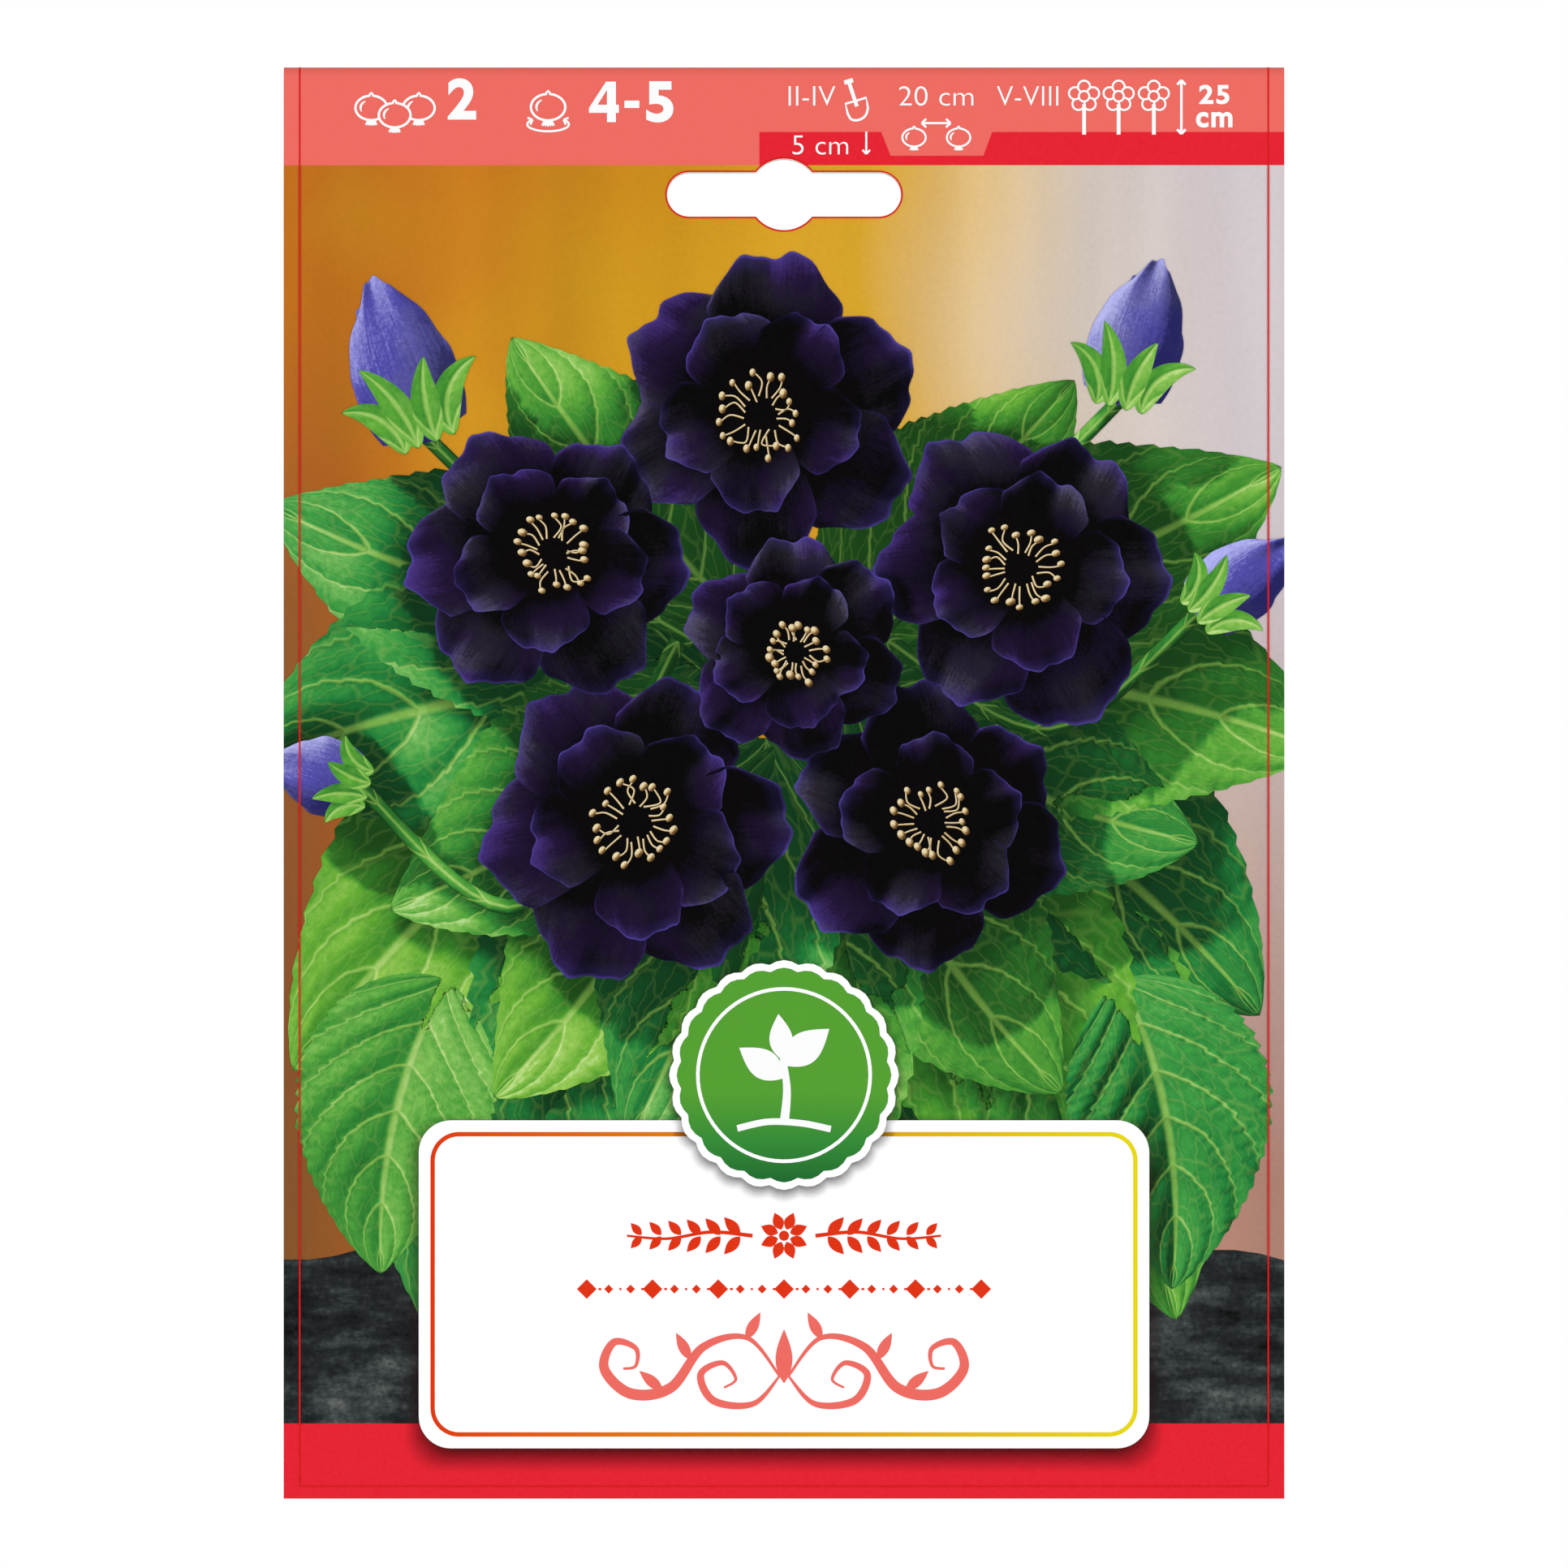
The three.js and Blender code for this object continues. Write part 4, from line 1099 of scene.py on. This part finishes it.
def creases(x, z, seed, count, low, high):
    """Crumple of thin film: a sum of ridged waves, each the root of a sine, at random angles and pitches."""
    random = np.random.default_rng(seed)
    total = 0
    for _ in range(count):
        way, pitch = random.uniform(0, math.pi), random.uniform(low, high)
        east, north = math.cos(way), math.sin(way)
        warp = 0.35 * pitch * np.sin((x * north - z * east) / (1.7 * pitch) + random.uniform(0, 6))
        wave = np.sin((x * east + z * north + warp) / pitch + random.uniform(0, 6))
        total = total + (1 - np.abs(wave) ** 0.6) * pitch
    return total / (count * high)


def bag_folds(x, z):
    """Folds of the back film, 0 to about 1: down from the header, out from the bottom corners, puckers at the
    welds, a pull between the tubers, and fine crumple."""
    edge, up = bag_half_width(z) - WELD - np.abs(x), z - WELD_TOP

    def ridges(phase, power):
        return np.abs(np.sin(phase)) ** power

    def bell(value, reach):
        return np.exp(-((value / reach) ** 2))

    fall = ridges(x / 4.3 + 0.5 * np.sin(z / 11) + 0.3 * np.sin(x / 9), 1.5) * bell(z + 66, 17)
    corner, spokes = np.hypot(np.abs(x) - 54, up), np.arctan2(up, 54.5 - np.abs(x))
    fan = ridges(9 * spokes + np.sign(x), 1.4) * bell(corner - 13, 13)
    pucker = ridges(z / 2.1 + 1.3 * np.sin(z / 7.3), 1.3) * np.exp(-np.maximum(edge, 0) / 5)
    foot = ridges(x / 2.6 + np.sin(x / 8), 1.3) * np.exp(-np.maximum(up, 0) / 6)
    pull = ridges((z + 0.02 * x**2) / 3.2, 1.6) * bell(x, 10) * bell(z + 128, 18)
    inside = smoothstep(0, 2.5, edge) * smoothstep(0, 3, up) * smoothstep(0, 8, BODY_TOP - z)
    folds = 0.34 * fall + 0.42 * fan + 0.4 * pucker + 0.38 * foot + 0.3 * pull
    return np.clip((folds + 0.55 * creases(x, z, 3, 14, 1.6, 5.2)) * inside, 0, 1)


def welded(x, z):
    """1 on the side and bottom welds, 0 on the body of the bag."""
    sides = smoothstep(0.6, -0.1, bag_half_width(z) - WELD - np.abs(x))
    return np.maximum(sides, smoothstep(0.4, -0.2, z - WELD_TOP))


def film_sheet(surface, face, rows, columns, vent, turned_round):
    """One film on a grid of its height and width. Round each vent a block of the grid makes way for rings
    that pass from the block's outline to the vent's circle. face gives y and the height of the folds, which
    also sets a painted sheen on their ridges."""
    above, below = np.linspace(BAG_HIGH[2], BODY_TOP, 14)[:-1], np.linspace(WELD_TOP, BAG_LOW[2], 9)[1:]
    heights = np.concatenate([above, np.linspace(BODY_TOP, WELD_TOP, rows), below])
    u = np.sin(np.linspace(-1.35, 1.35, columns)) / math.sin(1.35)
    z = np.broadcast_to(heights[:, None], (len(heights), columns))
    x = u * bag_half_width(z)
    index = np.arange(z.size).reshape(z.shape)
    keep = np.ones((len(heights) - 1, columns - 1), bool)
    flat, faces = [np.stack([x.ravel(), z.ravel()], axis=1)], []
    count = z.size
    for middle_z, middle_x in product(VENT_ROWS, VENT_COLUMNS):
        row = np.flatnonzero(np.abs(heights - middle_z) < vent / 2 + 1.0)
        i, j = row[0] - 1, row[-1] + 1
        column = np.flatnonzero(np.abs(x[i] - middle_x) < vent / 2 + 1.0)
        k, m = column[0] - 1, column[-1] + 1
        keep[i:j, k:m] = False
        loop = np.concatenate([index[i, k:m], index[i:j, m], index[j, m:k:-1], index[j:i:-1, k]])
        outer = flat[0][loop]
        circle = (middle_x, middle_z) + unit(outer - (middle_x, middle_z)) * vent / 2
        for share in (0.4, 0.75, 1.0):
            ring = count + np.arange(len(loop))
            faces.append(np.stack([loop, np.roll(loop, -1), np.roll(ring, -1), ring], axis=1))
            flat.append(outer + (circle - outer) * share)
            loop, count = ring, count + len(ring)
    flat, faces = np.concatenate(flat), np.concatenate([*faces, quads(index)[keep.ravel()]])
    used, faces = np.unique(faces, return_inverse=True)
    x, z = flat[used].T
    y, folds = face(x, z)
    faces = faces.reshape(-1, 4)
    # fold carries the folds' height to the film's finish, where it paints a sheen on the ridges
    surface.add(joined(x, y, z), [faces[:, ::-1] if turned_round else faces], weld=welded(x, z), fold=folds)


def film_finish(settings):
    """Clear glossy film: nearly see-through face on, more solid seen aslant, whitish at the welds, and more
    solid on the fold ridges as a painted sheen.
    """
    finish = Finish("clear film", 0.07, 1.0, IOR=2.3)
    place, weld = finish.place, finish.read("weld")
    aslant = finish.node("LayerWeight", {"Blend": 0.3}, "Facing")
    clear = aslant.span(0.0, 1.0, settings.film_opacity, 0.5)
    # alpha also rises on the welds, and on the fold ridges as a painted sheen that lightens every fold
    # whatever the lamps
    finish.set({"Alpha": clear + (weld * 0.12 + finish.read("fold").span(0.45, 0.95, 0.0, 0.16))})
    east, _, north = ((axis * (2 * math.pi / 0.0011)).math("SINE") for axis in place.axes())
    ribs = north * east * weld * 0.25
    crumple = place.cells(95.0, 0.02, 45.0) * 0.8 + place.noise(150, 3)
    finish.bump(ribs + crumple, 0.0005, 0.8)
    return finish.colour((0.86, 0.88, 0.9))


def make_bag(settings):
    """The clear bag: two films, flat between panel and flap, then the pillow with its folds, on a thin wall.
    The films meet at the welds."""
    wall, depth, vent = settings.film_thickness / MM, settings.wrinkle_depth / MM, settings.vent_diameter / MM
    surface = Surface()

    def apart(x, z):
        return TOUCH + (STAND_OFF - wall) * (1 - welded(x, z))

    def back(x, z):
        folds = bag_folds(x, z)
        # the second value is the folds' height, which sets the painted sheen on the back film
        return film_back(x, z) + apart(x, z) + depth * folds, folds

    def front(x, z):
        slack = smoothstep(0, 10, BODY_TOP - z) * smoothstep(0, 6, z - WELD_TOP)
        folds = creases(x, z, 8, 8, 2.5, 7.0) * slack
        # the second value is the creases' height, which sets a weaker painted sheen on the front film
        return film_front(x, z) - apart(x, z) - 0.12 * folds, 0.6 * folds

    film_sheet(surface, back, 215, 150, vent, False)
    film_sheet(surface, front, 100, 70, vent, True)
    bag = surface.piece("film_bag_clear", film_finish(settings), "clear_film", ["film_bag"], outward=False)
    skin = bag.modifiers.new("film wall", "SOLIDIFY")
    skin.thickness = wall * MM
    skin.offset = 1.0


# ---- the tubers ----
HOLLOW, BUD = 5.2, 2.6  # depth of the hollow crown, and height of the buds in it
ROOT_RADIUS = 0.34


def tuber_points(seat, latitude, longitude, fine):
    """Latitude and longitude to a point: a flattened round body with waves for lumps, a hollow crown as a
    bell-shaped dip, buds as bumps round it, and fine wrinkles round the stem."""
    level, crown = np.cos(latitude), latitude > 0
    lumps = 0.045 * np.sin(3 * longitude + seat.turn) * level
    lumps = lumps + 0.03 * np.sin(5 * longitude - seat.turn + 4 * latitude) * level
    lumps = lumps + 0.02 * np.sin(9 * longitude + 6 * latitude + seat.turn)
    radius = seat.radius * (0.96 + lumps) * np.maximum(level, 1e-6) ** 0.86
    inward = radius / seat.radius
    hollow = HOLLOW * np.exp(-((inward / 0.42) ** 2)) * crown
    bud = np.exp(-(((inward - 0.34) / 0.12) ** 2)) * np.abs(np.cos(2.5 * longitude)) ** 3 * crown
    rings = 0.16 * np.sin(34 * inward + 2 * np.sin(3 * longitude)) * smoothstep(0.2, 0.6, inward)
    rough = 0.22 * np.sin(23 * longitude + 17 * latitude) * np.sin(31 * latitude - 9 * longitude)
    pits = np.maximum(0, np.sin(13 * longitude + 5 * latitude) * np.sin(19 * latitude + 3 * longitude) - 0.75)
    relief = fine * (rings + rough - pits)
    height = seat.depth / 2 * np.sin(latitude) - hollow + BUD * bud + relief * np.sin(latitude)
    out = radius + relief * level
    return joined(out * np.cos(longitude), out * np.sin(longitude), height), bud


def seat_place(seat, points):
    """From the tuber's own axes, crown up, to its place in the packet."""
    points = spin(points, 0, 1, seat.turn)
    return spin(points, 1, 2, -seat.crown * (math.pi / 2 + seat.tilt)) + seat.at


def tuber_finish(settings):
    """Tuber skin: brown, with paler scurf, dark pits, clinging dust, and pinkish shoots at the buds."""
    finish = Finish("tuber skin", 0.86, 0.25)
    place, shoot = finish.place, finish.read("shoot").span(0.35, 0.85)
    scurf = place.noise(330, 5, 0.7).span(0.52, 0.68) * 0.6
    body = place.noise(110, 5).ramp((0.3, "4A2E1A"), (0.5, settings.tuber_colour), (0.72, "A87C4A"))
    finish.bump(place.noise(900, 4) + scurf, 0.0005, 0.8)
    return finish.colour(shoot.mix(scurf.mix(body, "C6A87C"), "C98C7E"))


def make_tubers(settings):
    """Each tuber with its skin relief, and a beard of fine dried roots grown from its underside and rim."""
    material = tuber_finish(settings)
    for seat in SEATS:
        surface = Surface()
        latitude = np.linspace(-math.pi / 2, math.pi / 2, 150)[:, None]
        longitude = np.linspace(0, 2 * math.pi, 220, endpoint=False)[None, :]
        points, shoot = tuber_points(seat, latitude, longitude, 1.0)
        points[0], points[-1] = points[0].mean(0), points[-1].mean(0)
        surface.grid(seat_place(seat, points), wrap=True, shoot=shoot)
        roots_on(surface, seat, np.random.default_rng(round(100 * seat.turn)), settings.root_count)
        surface.piece(seat.name + "_skin", material, "tuber_skin", [seat.name])


def roots_on(surface, seat, random, count):
    """Dried roots: each a tapering tube along a path that leaves the skin and curls down over it."""
    t = np.linspace(0, 1, 12)
    a = np.linspace(0, 2 * math.pi, 6, endpoint=False)[None, :, None]
    radius = (ROOT_RADIUS * (1 - 0.8 * t))[:, None, None]
    lift = -0.5 + 1.5 * np.sin(np.pi * np.minimum(t * 1.15, 1)) ** 0.8
    for number in range(count):
        longitude = 2 * math.pi * (number + random.random()) / count
        latitude = -1.15 + 1.1 * random.random()
        sweep, reach = random.normal(0, 0.35), 0.12 + 0.3 * random.random()
        curl = longitude + sweep * t + 0.12 * np.sin(7 * t + number)
        base, _ = tuber_points(seat, latitude - reach * t, curl, 0.0)
        outward = unit(base)
        path = base + outward * lift[:, None]
        side = unit(np.cross(np.gradient(path, axis=0), outward))
        ring = path[:, None] + radius * (np.cos(a) * side[:, None] + np.sin(a) * outward[:, None])
        ring[0], ring[-1] = path[0], path[-1]
        surface.grid(seat_place(seat, ring), wrap=True, shoot=np.zeros(ring.shape[:2]))


# ---- the shavings ----
HEAP_REACH, HEAP_FOOT = 52.0, WELD_TOP + 4  # half the heap's width, and its lowest curls
CURL_STEPS = 14
CURL_BATCHES = (  # range of the radius, range of the width, thickness, and height of the heap's top
    ((2.6, 7.0), (2.4, 6.2), 0.26, -101.0),
    ((1.5, 3.6), (1.2, 3.2), 0.24, -104.0),
)


def keep_inside(points, margin):
    """Presses points into the bag's hollow and out of the tubers, in turn: curls flatten on the film."""
    for _ in range(3):
        for seat in SEATS:
            size = np.array([seat.radius, seat.depth / 2, seat.radius]) + 0.6
            offset = points - seat.at
            reach = np.linalg.norm(offset / size, axis=-1, keepdims=True)
            points = seat.at + offset * np.where(reach < 1, 1 / np.maximum(reach, 0.05), 1)
        x, y, z = np.moveaxis(points, -1, 0)
        z = np.maximum(z, WELD_TOP + 2.0)
        clear = bag_half_width(z) - WELD - 2.0
        x = np.clip(x, -clear, clear)
        low, high = film_front(x, z) + margin, film_back(x, z) - margin
        middle = (low + high) / 2
        points = joined(x, np.clip(y, np.minimum(low, middle), np.maximum(high, middle)), z)
    return points


def curls(random, count, bend, width, thickness, top):
    """Plane curls as arrays: a flat section carried round an arc with a sideways drift, turned at random,
    and set down at random heights below the heap's top."""
    each = (count, 1, 1)
    t = np.linspace(0, 1, CURL_STEPS)[None, :, None]
    size = random.uniform(*bend, each) * (1 - 0.5 * t * random.random(each))
    angle = random.uniform(2.0, 7.0, each) * t
    broad = random.uniform(*width, each) * (0.3 + 0.7 * np.sin(np.pi * (0.06 + 0.88 * t)) ** 0.7)
    thick = thickness * random.uniform(0.8, 1.3, each)
    radius = size + thick / 2 * np.array([-1, -1, 1, 1])
    drift = random.uniform(-6, 6, each) * t + broad / 2 * np.array([-1, 1, 1, -1])
    local = joined(radius * np.cos(angle), radius * np.sin(angle), drift)
    axes, _ = np.linalg.qr(random.normal(size=(count, 3, 3)))
    axes *= np.sign(np.linalg.det(axes))[:, None, None]
    placed = np.einsum("nscj,nkj->nsck", local - local.mean((1, 2), keepdims=True), axes)
    x = random.uniform(-HEAP_REACH, HEAP_REACH, count)
    heap = top - 3 + 4 * np.sin(x / 16 + 1) + 2.5 * np.sin(x / 6)
    z = HEAP_FOOT + (heap - HEAP_FOOT) * random.random(count) ** 0.85
    y = film_front(x, z) + (film_back(x, z) - film_front(x, z)) * random.beta(1.6, 0.9, count)
    shown = np.ones(count, bool)
    for seat in SEATS:
        over = (np.hypot(x - seat.at[0], z - seat.at[2]) < 0.8 * seat.radius) & (y > seat.at[1] - 4)
        shown &= ~(over & (random.random(count) < 0.92))
    return (placed + joined(x, y, z)[:, None, None])[shown]


def shaving_finish(settings):
    """Pale wood: grain that runs along each curl, a tone of its own for each, and a dry surface."""
    finish = Finish("pale wood", 0.7, 0.3)
    across, down, tone = finish.read("grain", "Vector").axes()
    streak = finish.vector(across * 5.0, down * 0.8, tone * 50.0).noise(2.2, 3)
    finish.bump(streak, 0.0001, 0.6)
    stops = (0.2, "B98A50"), (0.5, settings.shaving_colour), (0.8, "F4E3C2")
    return finish.colour((streak * 0.55 + tone * 0.45).ramp(*stops))


def make_shavings(settings):
    """The packing: large curls through the whole fill, then small chips that fill the gaps between them."""
    random = np.random.default_rng(12)
    surface = Surface()
    for batch in CURL_BATCHES:
        points = keep_inside(curls(random, settings.curl_count, *batch), 0.4)
        index = np.arange(points[..., 0].size).reshape(points.shape[:3])
        sides = quads(np.concatenate([index, index[..., :1]], axis=2))
        ends = np.concatenate([index[:, 0, ::-1], index[:, -1]])
        across, down = np.array([-1.0, 1.0, 1.0, -1.0]), np.linspace(0, 6, CURL_STEPS)[None, :, None]
        surface.add(points, [sides, ends], grain=joined(across, down, random.random((len(points), 1, 1))))
    surface.piece("shavings_curls", shaving_finish(settings), "pale_wood", ["wood_shavings"], smooth=False)


# ---- the adhesive ----
def adhesive_finish():
    """Clear tacky film with trapped air: slightly yellow, blotchy and half see-through."""
    finish = Finish("adhesive", 0.3)
    blot = finish.place.noise(300, 4)
    finish.set({"Roughness": blot.span(0.35, 0.65, 0.18, 0.5)})
    return finish.colour(blot.ramp((0.35, "D8D0B4"), (0.6, "ECE7D6")))


# ---- the studio, in metres ----
AIM = np.array([0.0, 0.0, -0.085])  # the packet's middle, which the lamps are turned to
FLOOR_REACH = 6.0
FRAME_WIDTH, FRAME_MIDDLE = 0.21467, -0.08556  # what the camera sees of the card's plane, and its height
SENSOR = 36.0


def soft_box(name, place, size, watts):
    """An area lamp at a place, turned to the packet."""
    light = bpy.data.lights.new(name, "AREA")
    light.shape, light.size, light.size_y, light.energy = "RECTANGLE", size[0], size[1], watts
    lamp = bpy.data.objects.new(name, light)
    bpy.context.scene.collection.objects.link(lamp)
    lamp.location = place
    x, y, z = AIM - place
    lamp.rotation_euler = (math.pi / 2 + math.atan2(z, math.hypot(x, y)), 0, math.atan2(-x, y))


def make_world(strength):
    """White where the camera sees it, and a soft fill for everything else."""
    world = bpy.data.worlds.new("studio")
    bpy.context.scene.world = world
    world.use_nodes = True
    nodes, links = world.node_tree.nodes, world.node_tree.links
    seen, fill = nodes["Background"], nodes.new("ShaderNodeBackground")
    seen.inputs["Color"].default_value = (1, 1, 1, 1)
    fill.inputs["Color"].default_value = (0.95, 0.97, 1.0, 1)
    fill.inputs["Strength"].default_value = strength
    path, mix = nodes.new("ShaderNodeLightPath"), nodes.new("ShaderNodeMixShader")
    for number, output in enumerate((path.outputs["Is Camera Ray"], fill.outputs[0], seen.outputs[0])):
        links.new(output, mix.inputs[number])
    links.new(mix.outputs[0], nodes["World Output"].inputs["Surface"])


def make_floor(drop):
    """A level sheet, nearly white, that glows a little."""
    floor = Surface()
    across = np.linspace(-FLOOR_REACH, FLOOR_REACH, 25) / MM
    floor.grid(joined(*np.meshgrid(across, across), -drop / MM))
    paint = Finish("studio floor", 0.9, **{"Emission Color": (1, 1, 1, 1), "Emission Strength": 0.45})
    paint.colour(paint.place.noise(300, 3).ramp((0.3, "F3F3F2"), (0.7, "F7F7F6")))
    ground = floor.piece("studio_floor", paint.material, outward=False)


def make_camera(lens):
    """The camera square in front of the card, as far away as its lens needs for the frame's width."""
    camera = bpy.data.cameras.new("camera")
    camera.lens, camera.sensor_width = lens, SENSOR
    camera.clip_start, camera.clip_end = 0.05, 30.0
    eye = bpy.data.objects.new("camera", camera)
    bpy.context.scene.collection.objects.link(eye)
    eye.location = (0.0, FACE * MM - FRAME_WIDTH * lens / SENSOR, FRAME_MIDDLE)
    eye.rotation_euler = (math.pi / 2, 0, 0)
    bpy.context.scene.camera = eye


def make_studio(settings):
    """A pale floor well below the hanging packet, soft boxes in front, behind and above, and the camera."""
    view = bpy.context.scene.view_settings
    view.view_transform, view.look = "Standard", "None"
    make_world(settings.fill_strength)
    make_floor(settings.floor_drop)
    for name, place, size, share in (
        ("key_left", (-1.15, -1.15, 0.35), (0.9, 1.2), 1.0),
        ("key_right", (1.15, -1.15, 0.35), (0.9, 1.2), 1.0),
        ("back_left", (-1.1, 1.2, 0.5), (0.9, 1.1), 1.0),
        ("back_right", (1.2, 1.1, 0.2), (0.6, 1.2), 0.85),
        ("top", (0.0, 0.2, 1.3), (1.2, 1.0), 0.45),
    ):
        soft_box(name, place, size, settings.key_power * share)
    make_camera(settings.lens)


# ---- the add-on ----
def colour_property(name, description, code):
    values = {"subtype": "COLOR", "size": 3, "min": 0, "max": 1, "default": srgb(code)}
    return FloatVectorProperty(name=name, description=description, **values)


def number_property(name, description, default, low, high, kind=FloatProperty, **more):
    return kind(name=name, description=description, default=default, min=low, max=high, **more)


class PrintSettings(PropertyGroup):
    header_colour: colour_property("Header", "Ink of the header and the flap", "EE6A60")
    band_colour: colour_property("Bands", "Ink of the red bands", "E51E2F")
    wash_warm: colour_property("Warm wash", "Warm side of the picture's ground", "C67A1E")
    wash_cool: colour_property("Cool wash", "Cool side of the picture's ground", "DBCDC2")
    bloom_dark: colour_property("Bloom heart", "Darkest ink of the blooms", "060405")
    bloom_violet: colour_property("Bloom violet", "Lit ink of the blooms", "211336")
    bloom_rim: colour_property("Bloom rim", "Ink at the rims of the petals", "5446A4")
    frame_left: colour_property("Frame, left", "Label outline at the left, and the ornaments", "E03008")
    frame_right: colour_property("Frame, right", "Label outline at the right", "E8DA08")
    badge_colour: colour_property("Seal", "Light upper part of the green seal", "559F32")


class BagSettings(PropertyGroup):
    film_thickness: number_property(
        "Film thickness", "Wall of the film", 0.00006, 0.00002, 0.0004, unit="LENGTH", precision=5
    )
    film_opacity: number_property(
        "Film opacity", "How solid the film looks face on", 0.022, 0.0, 1.0, subtype="FACTOR"
    )
    wrinkle_depth: number_property(
        "Wrinkle depth", "Height of the film's folds", 0.0009, 0.0, 0.002, unit="LENGTH", precision=5
    )
    vent_diameter: number_property(
        "Vent diameter", "Width of the punched vents", 0.005, 0.002, 0.01, unit="LENGTH", precision=4
    )


class FillSettings(PropertyGroup):
    tuber_colour: colour_property("Tubers", "Middle tone of the tubers' skin", "7C5534")
    root_count: number_property("Roots", "Dried roots on each tuber", 70, 0, 200, IntProperty)
    curl_count: number_property("Curls", "Curls of wood in each batch", 620, 0, 2000, IntProperty)
    shaving_colour: colour_property("Shavings", "Middle tone of the shavings", "E3C48E")


class StudioSettings(PropertyGroup):
    lens: number_property("Lens", "Focal length of the camera", 250.0, 20.0, 500.0, unit="CAMERA")
    key_power: number_property("Key power", "Power of each front soft box", 11.0, 0.0, 500.0, unit="POWER")
    fill_strength: number_property("Fill", "Strength of the light from all round", 0.18, 0.0, 2.0)
    floor_drop: number_property(
        "Floor drop", "How far the floor is below the slot", 0.75, 0.2, 3.0, unit="LENGTH"
    )


def cover(material, *names):
    """Gives pieces of the packet's own solids a material."""
    for name in names:
        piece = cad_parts[name]
        piece.data.materials.clear()
        piece.data.materials.append(material)


class PACKET_OT_board(Operator):
    """Give the folded board its uncoated back and cut edges"""

    bl_idname = "packet.board"
    bl_label = "Board"

    def execute(self, context):
        cover(board_finish(), "card")
        return {"FINISHED"}


class PACKET_OT_header(Operator):
    """Print the header, the bands, the planting signs and the trim lines"""

    bl_idname = "packet.header"
    bl_label = "Header print"

    def execute(self, context):
        print_header(context.scene.packet_print)
        return {"FINISHED"}


class PACKET_OT_picture(Operator):
    """Print the picture: wash, slate, leaves, buds and blooms"""

    bl_idname = "packet.picture"
    bl_label = "Picture print"

    def execute(self, context):
        print_picture(context.scene.packet_print)
        return {"FINISHED"}


class PACKET_OT_label(Operator):
    """Print the label, its ornaments and the seal"""

    bl_idname = "packet.label"
    bl_label = "Label print"

    def execute(self, context):
        print_label(context.scene.packet_print)
        print_seal(context.scene.packet_print)
        return {"FINISHED"}


class PACKET_OT_flap(Operator):
    """Print the panel on the flap"""

    bl_idname = "packet.flap"
    bl_label = "Flap print"

    def execute(self, context):
        print_flap()
        return {"FINISHED"}


class PACKET_OT_bag(Operator):
    """Make the clear film bag"""

    bl_idname = "packet.bag"
    bl_label = "Film bag"

    def execute(self, context):
        make_bag(context.scene.packet_bag)
        return {"FINISHED"}


class PACKET_OT_tubers(Operator):
    """Make the tubers with their roots"""

    bl_idname = "packet.tubers"
    bl_label = "Tubers"

    def execute(self, context):
        make_tubers(context.scene.packet_fill)
        return {"FINISHED"}


class PACKET_OT_shavings(Operator):
    """Make the wood shavings"""

    bl_idname = "packet.shavings"
    bl_label = "Wood shavings"

    def execute(self, context):
        make_shavings(context.scene.packet_fill)
        return {"FINISHED"}


class PACKET_OT_adhesive(Operator):
    """Finish the two adhesive strips"""

    bl_idname = "packet.adhesive"
    bl_label = "Adhesive strips"

    def execute(self, context):
        cover(adhesive_finish(), "adhesive_strip_front", "adhesive_strip_back")
        return {"FINISHED"}


class PACKET_OT_studio(Operator):
    """Set up the floor, the lights and the camera"""

    bl_idname = "packet.studio"
    bl_label = "Studio"

    def execute(self, context):
        make_studio(context.scene.packet_studio)
        return {"FINISHED"}


OPERATORS = (
    PACKET_OT_board, PACKET_OT_header, PACKET_OT_picture, PACKET_OT_label, PACKET_OT_flap,
    PACKET_OT_bag, PACKET_OT_tubers, PACKET_OT_shavings, PACKET_OT_adhesive, PACKET_OT_studio,
)
SETTINGS = {
    "packet_print": PrintSettings,
    "packet_bag": BagSettings,
    "packet_fill": FillSettings,
    "packet_studio": StudioSettings,
}


class PACKET_PT_panel(Panel):
    """The packet's sizes, colours and pieces"""

    bl_idname = "PACKET_PT_panel"
    bl_label = "Flower Tuber Packet"
    bl_space_type = "VIEW_3D"
    bl_region_type = "UI"
    bl_category = "Packet"

    def draw(self, context):
        for name, group in SETTINGS.items():
            box = self.layout.box()
            for setting in group.__annotations__:
                box.prop(getattr(context.scene, name), setting)
        for operator in OPERATORS:
            self.layout.operator(operator.bl_idname)


def register():
    for name, group in SETTINGS.items():
        bpy.utils.register_class(group)
        setattr(bpy.types.Scene, name, PointerProperty(type=group))
    for shown in (*OPERATORS, PACKET_PT_panel):
        bpy.utils.register_class(shown)


def unregister():
    for shown in (PACKET_PT_panel, *reversed(OPERATORS)):
        bpy.utils.unregister_class(shown)
    for name, group in SETTINGS.items():
        delattr(bpy.types.Scene, name)
        bpy.utils.unregister_class(group)


def main():
    register()
    for operator in OPERATORS:
        group, name = operator.bl_idname.split(".")
        getattr(getattr(bpy.ops, group), name)()
    bpy.context.view_layer.update()


if __name__ == "__main__":
    main()
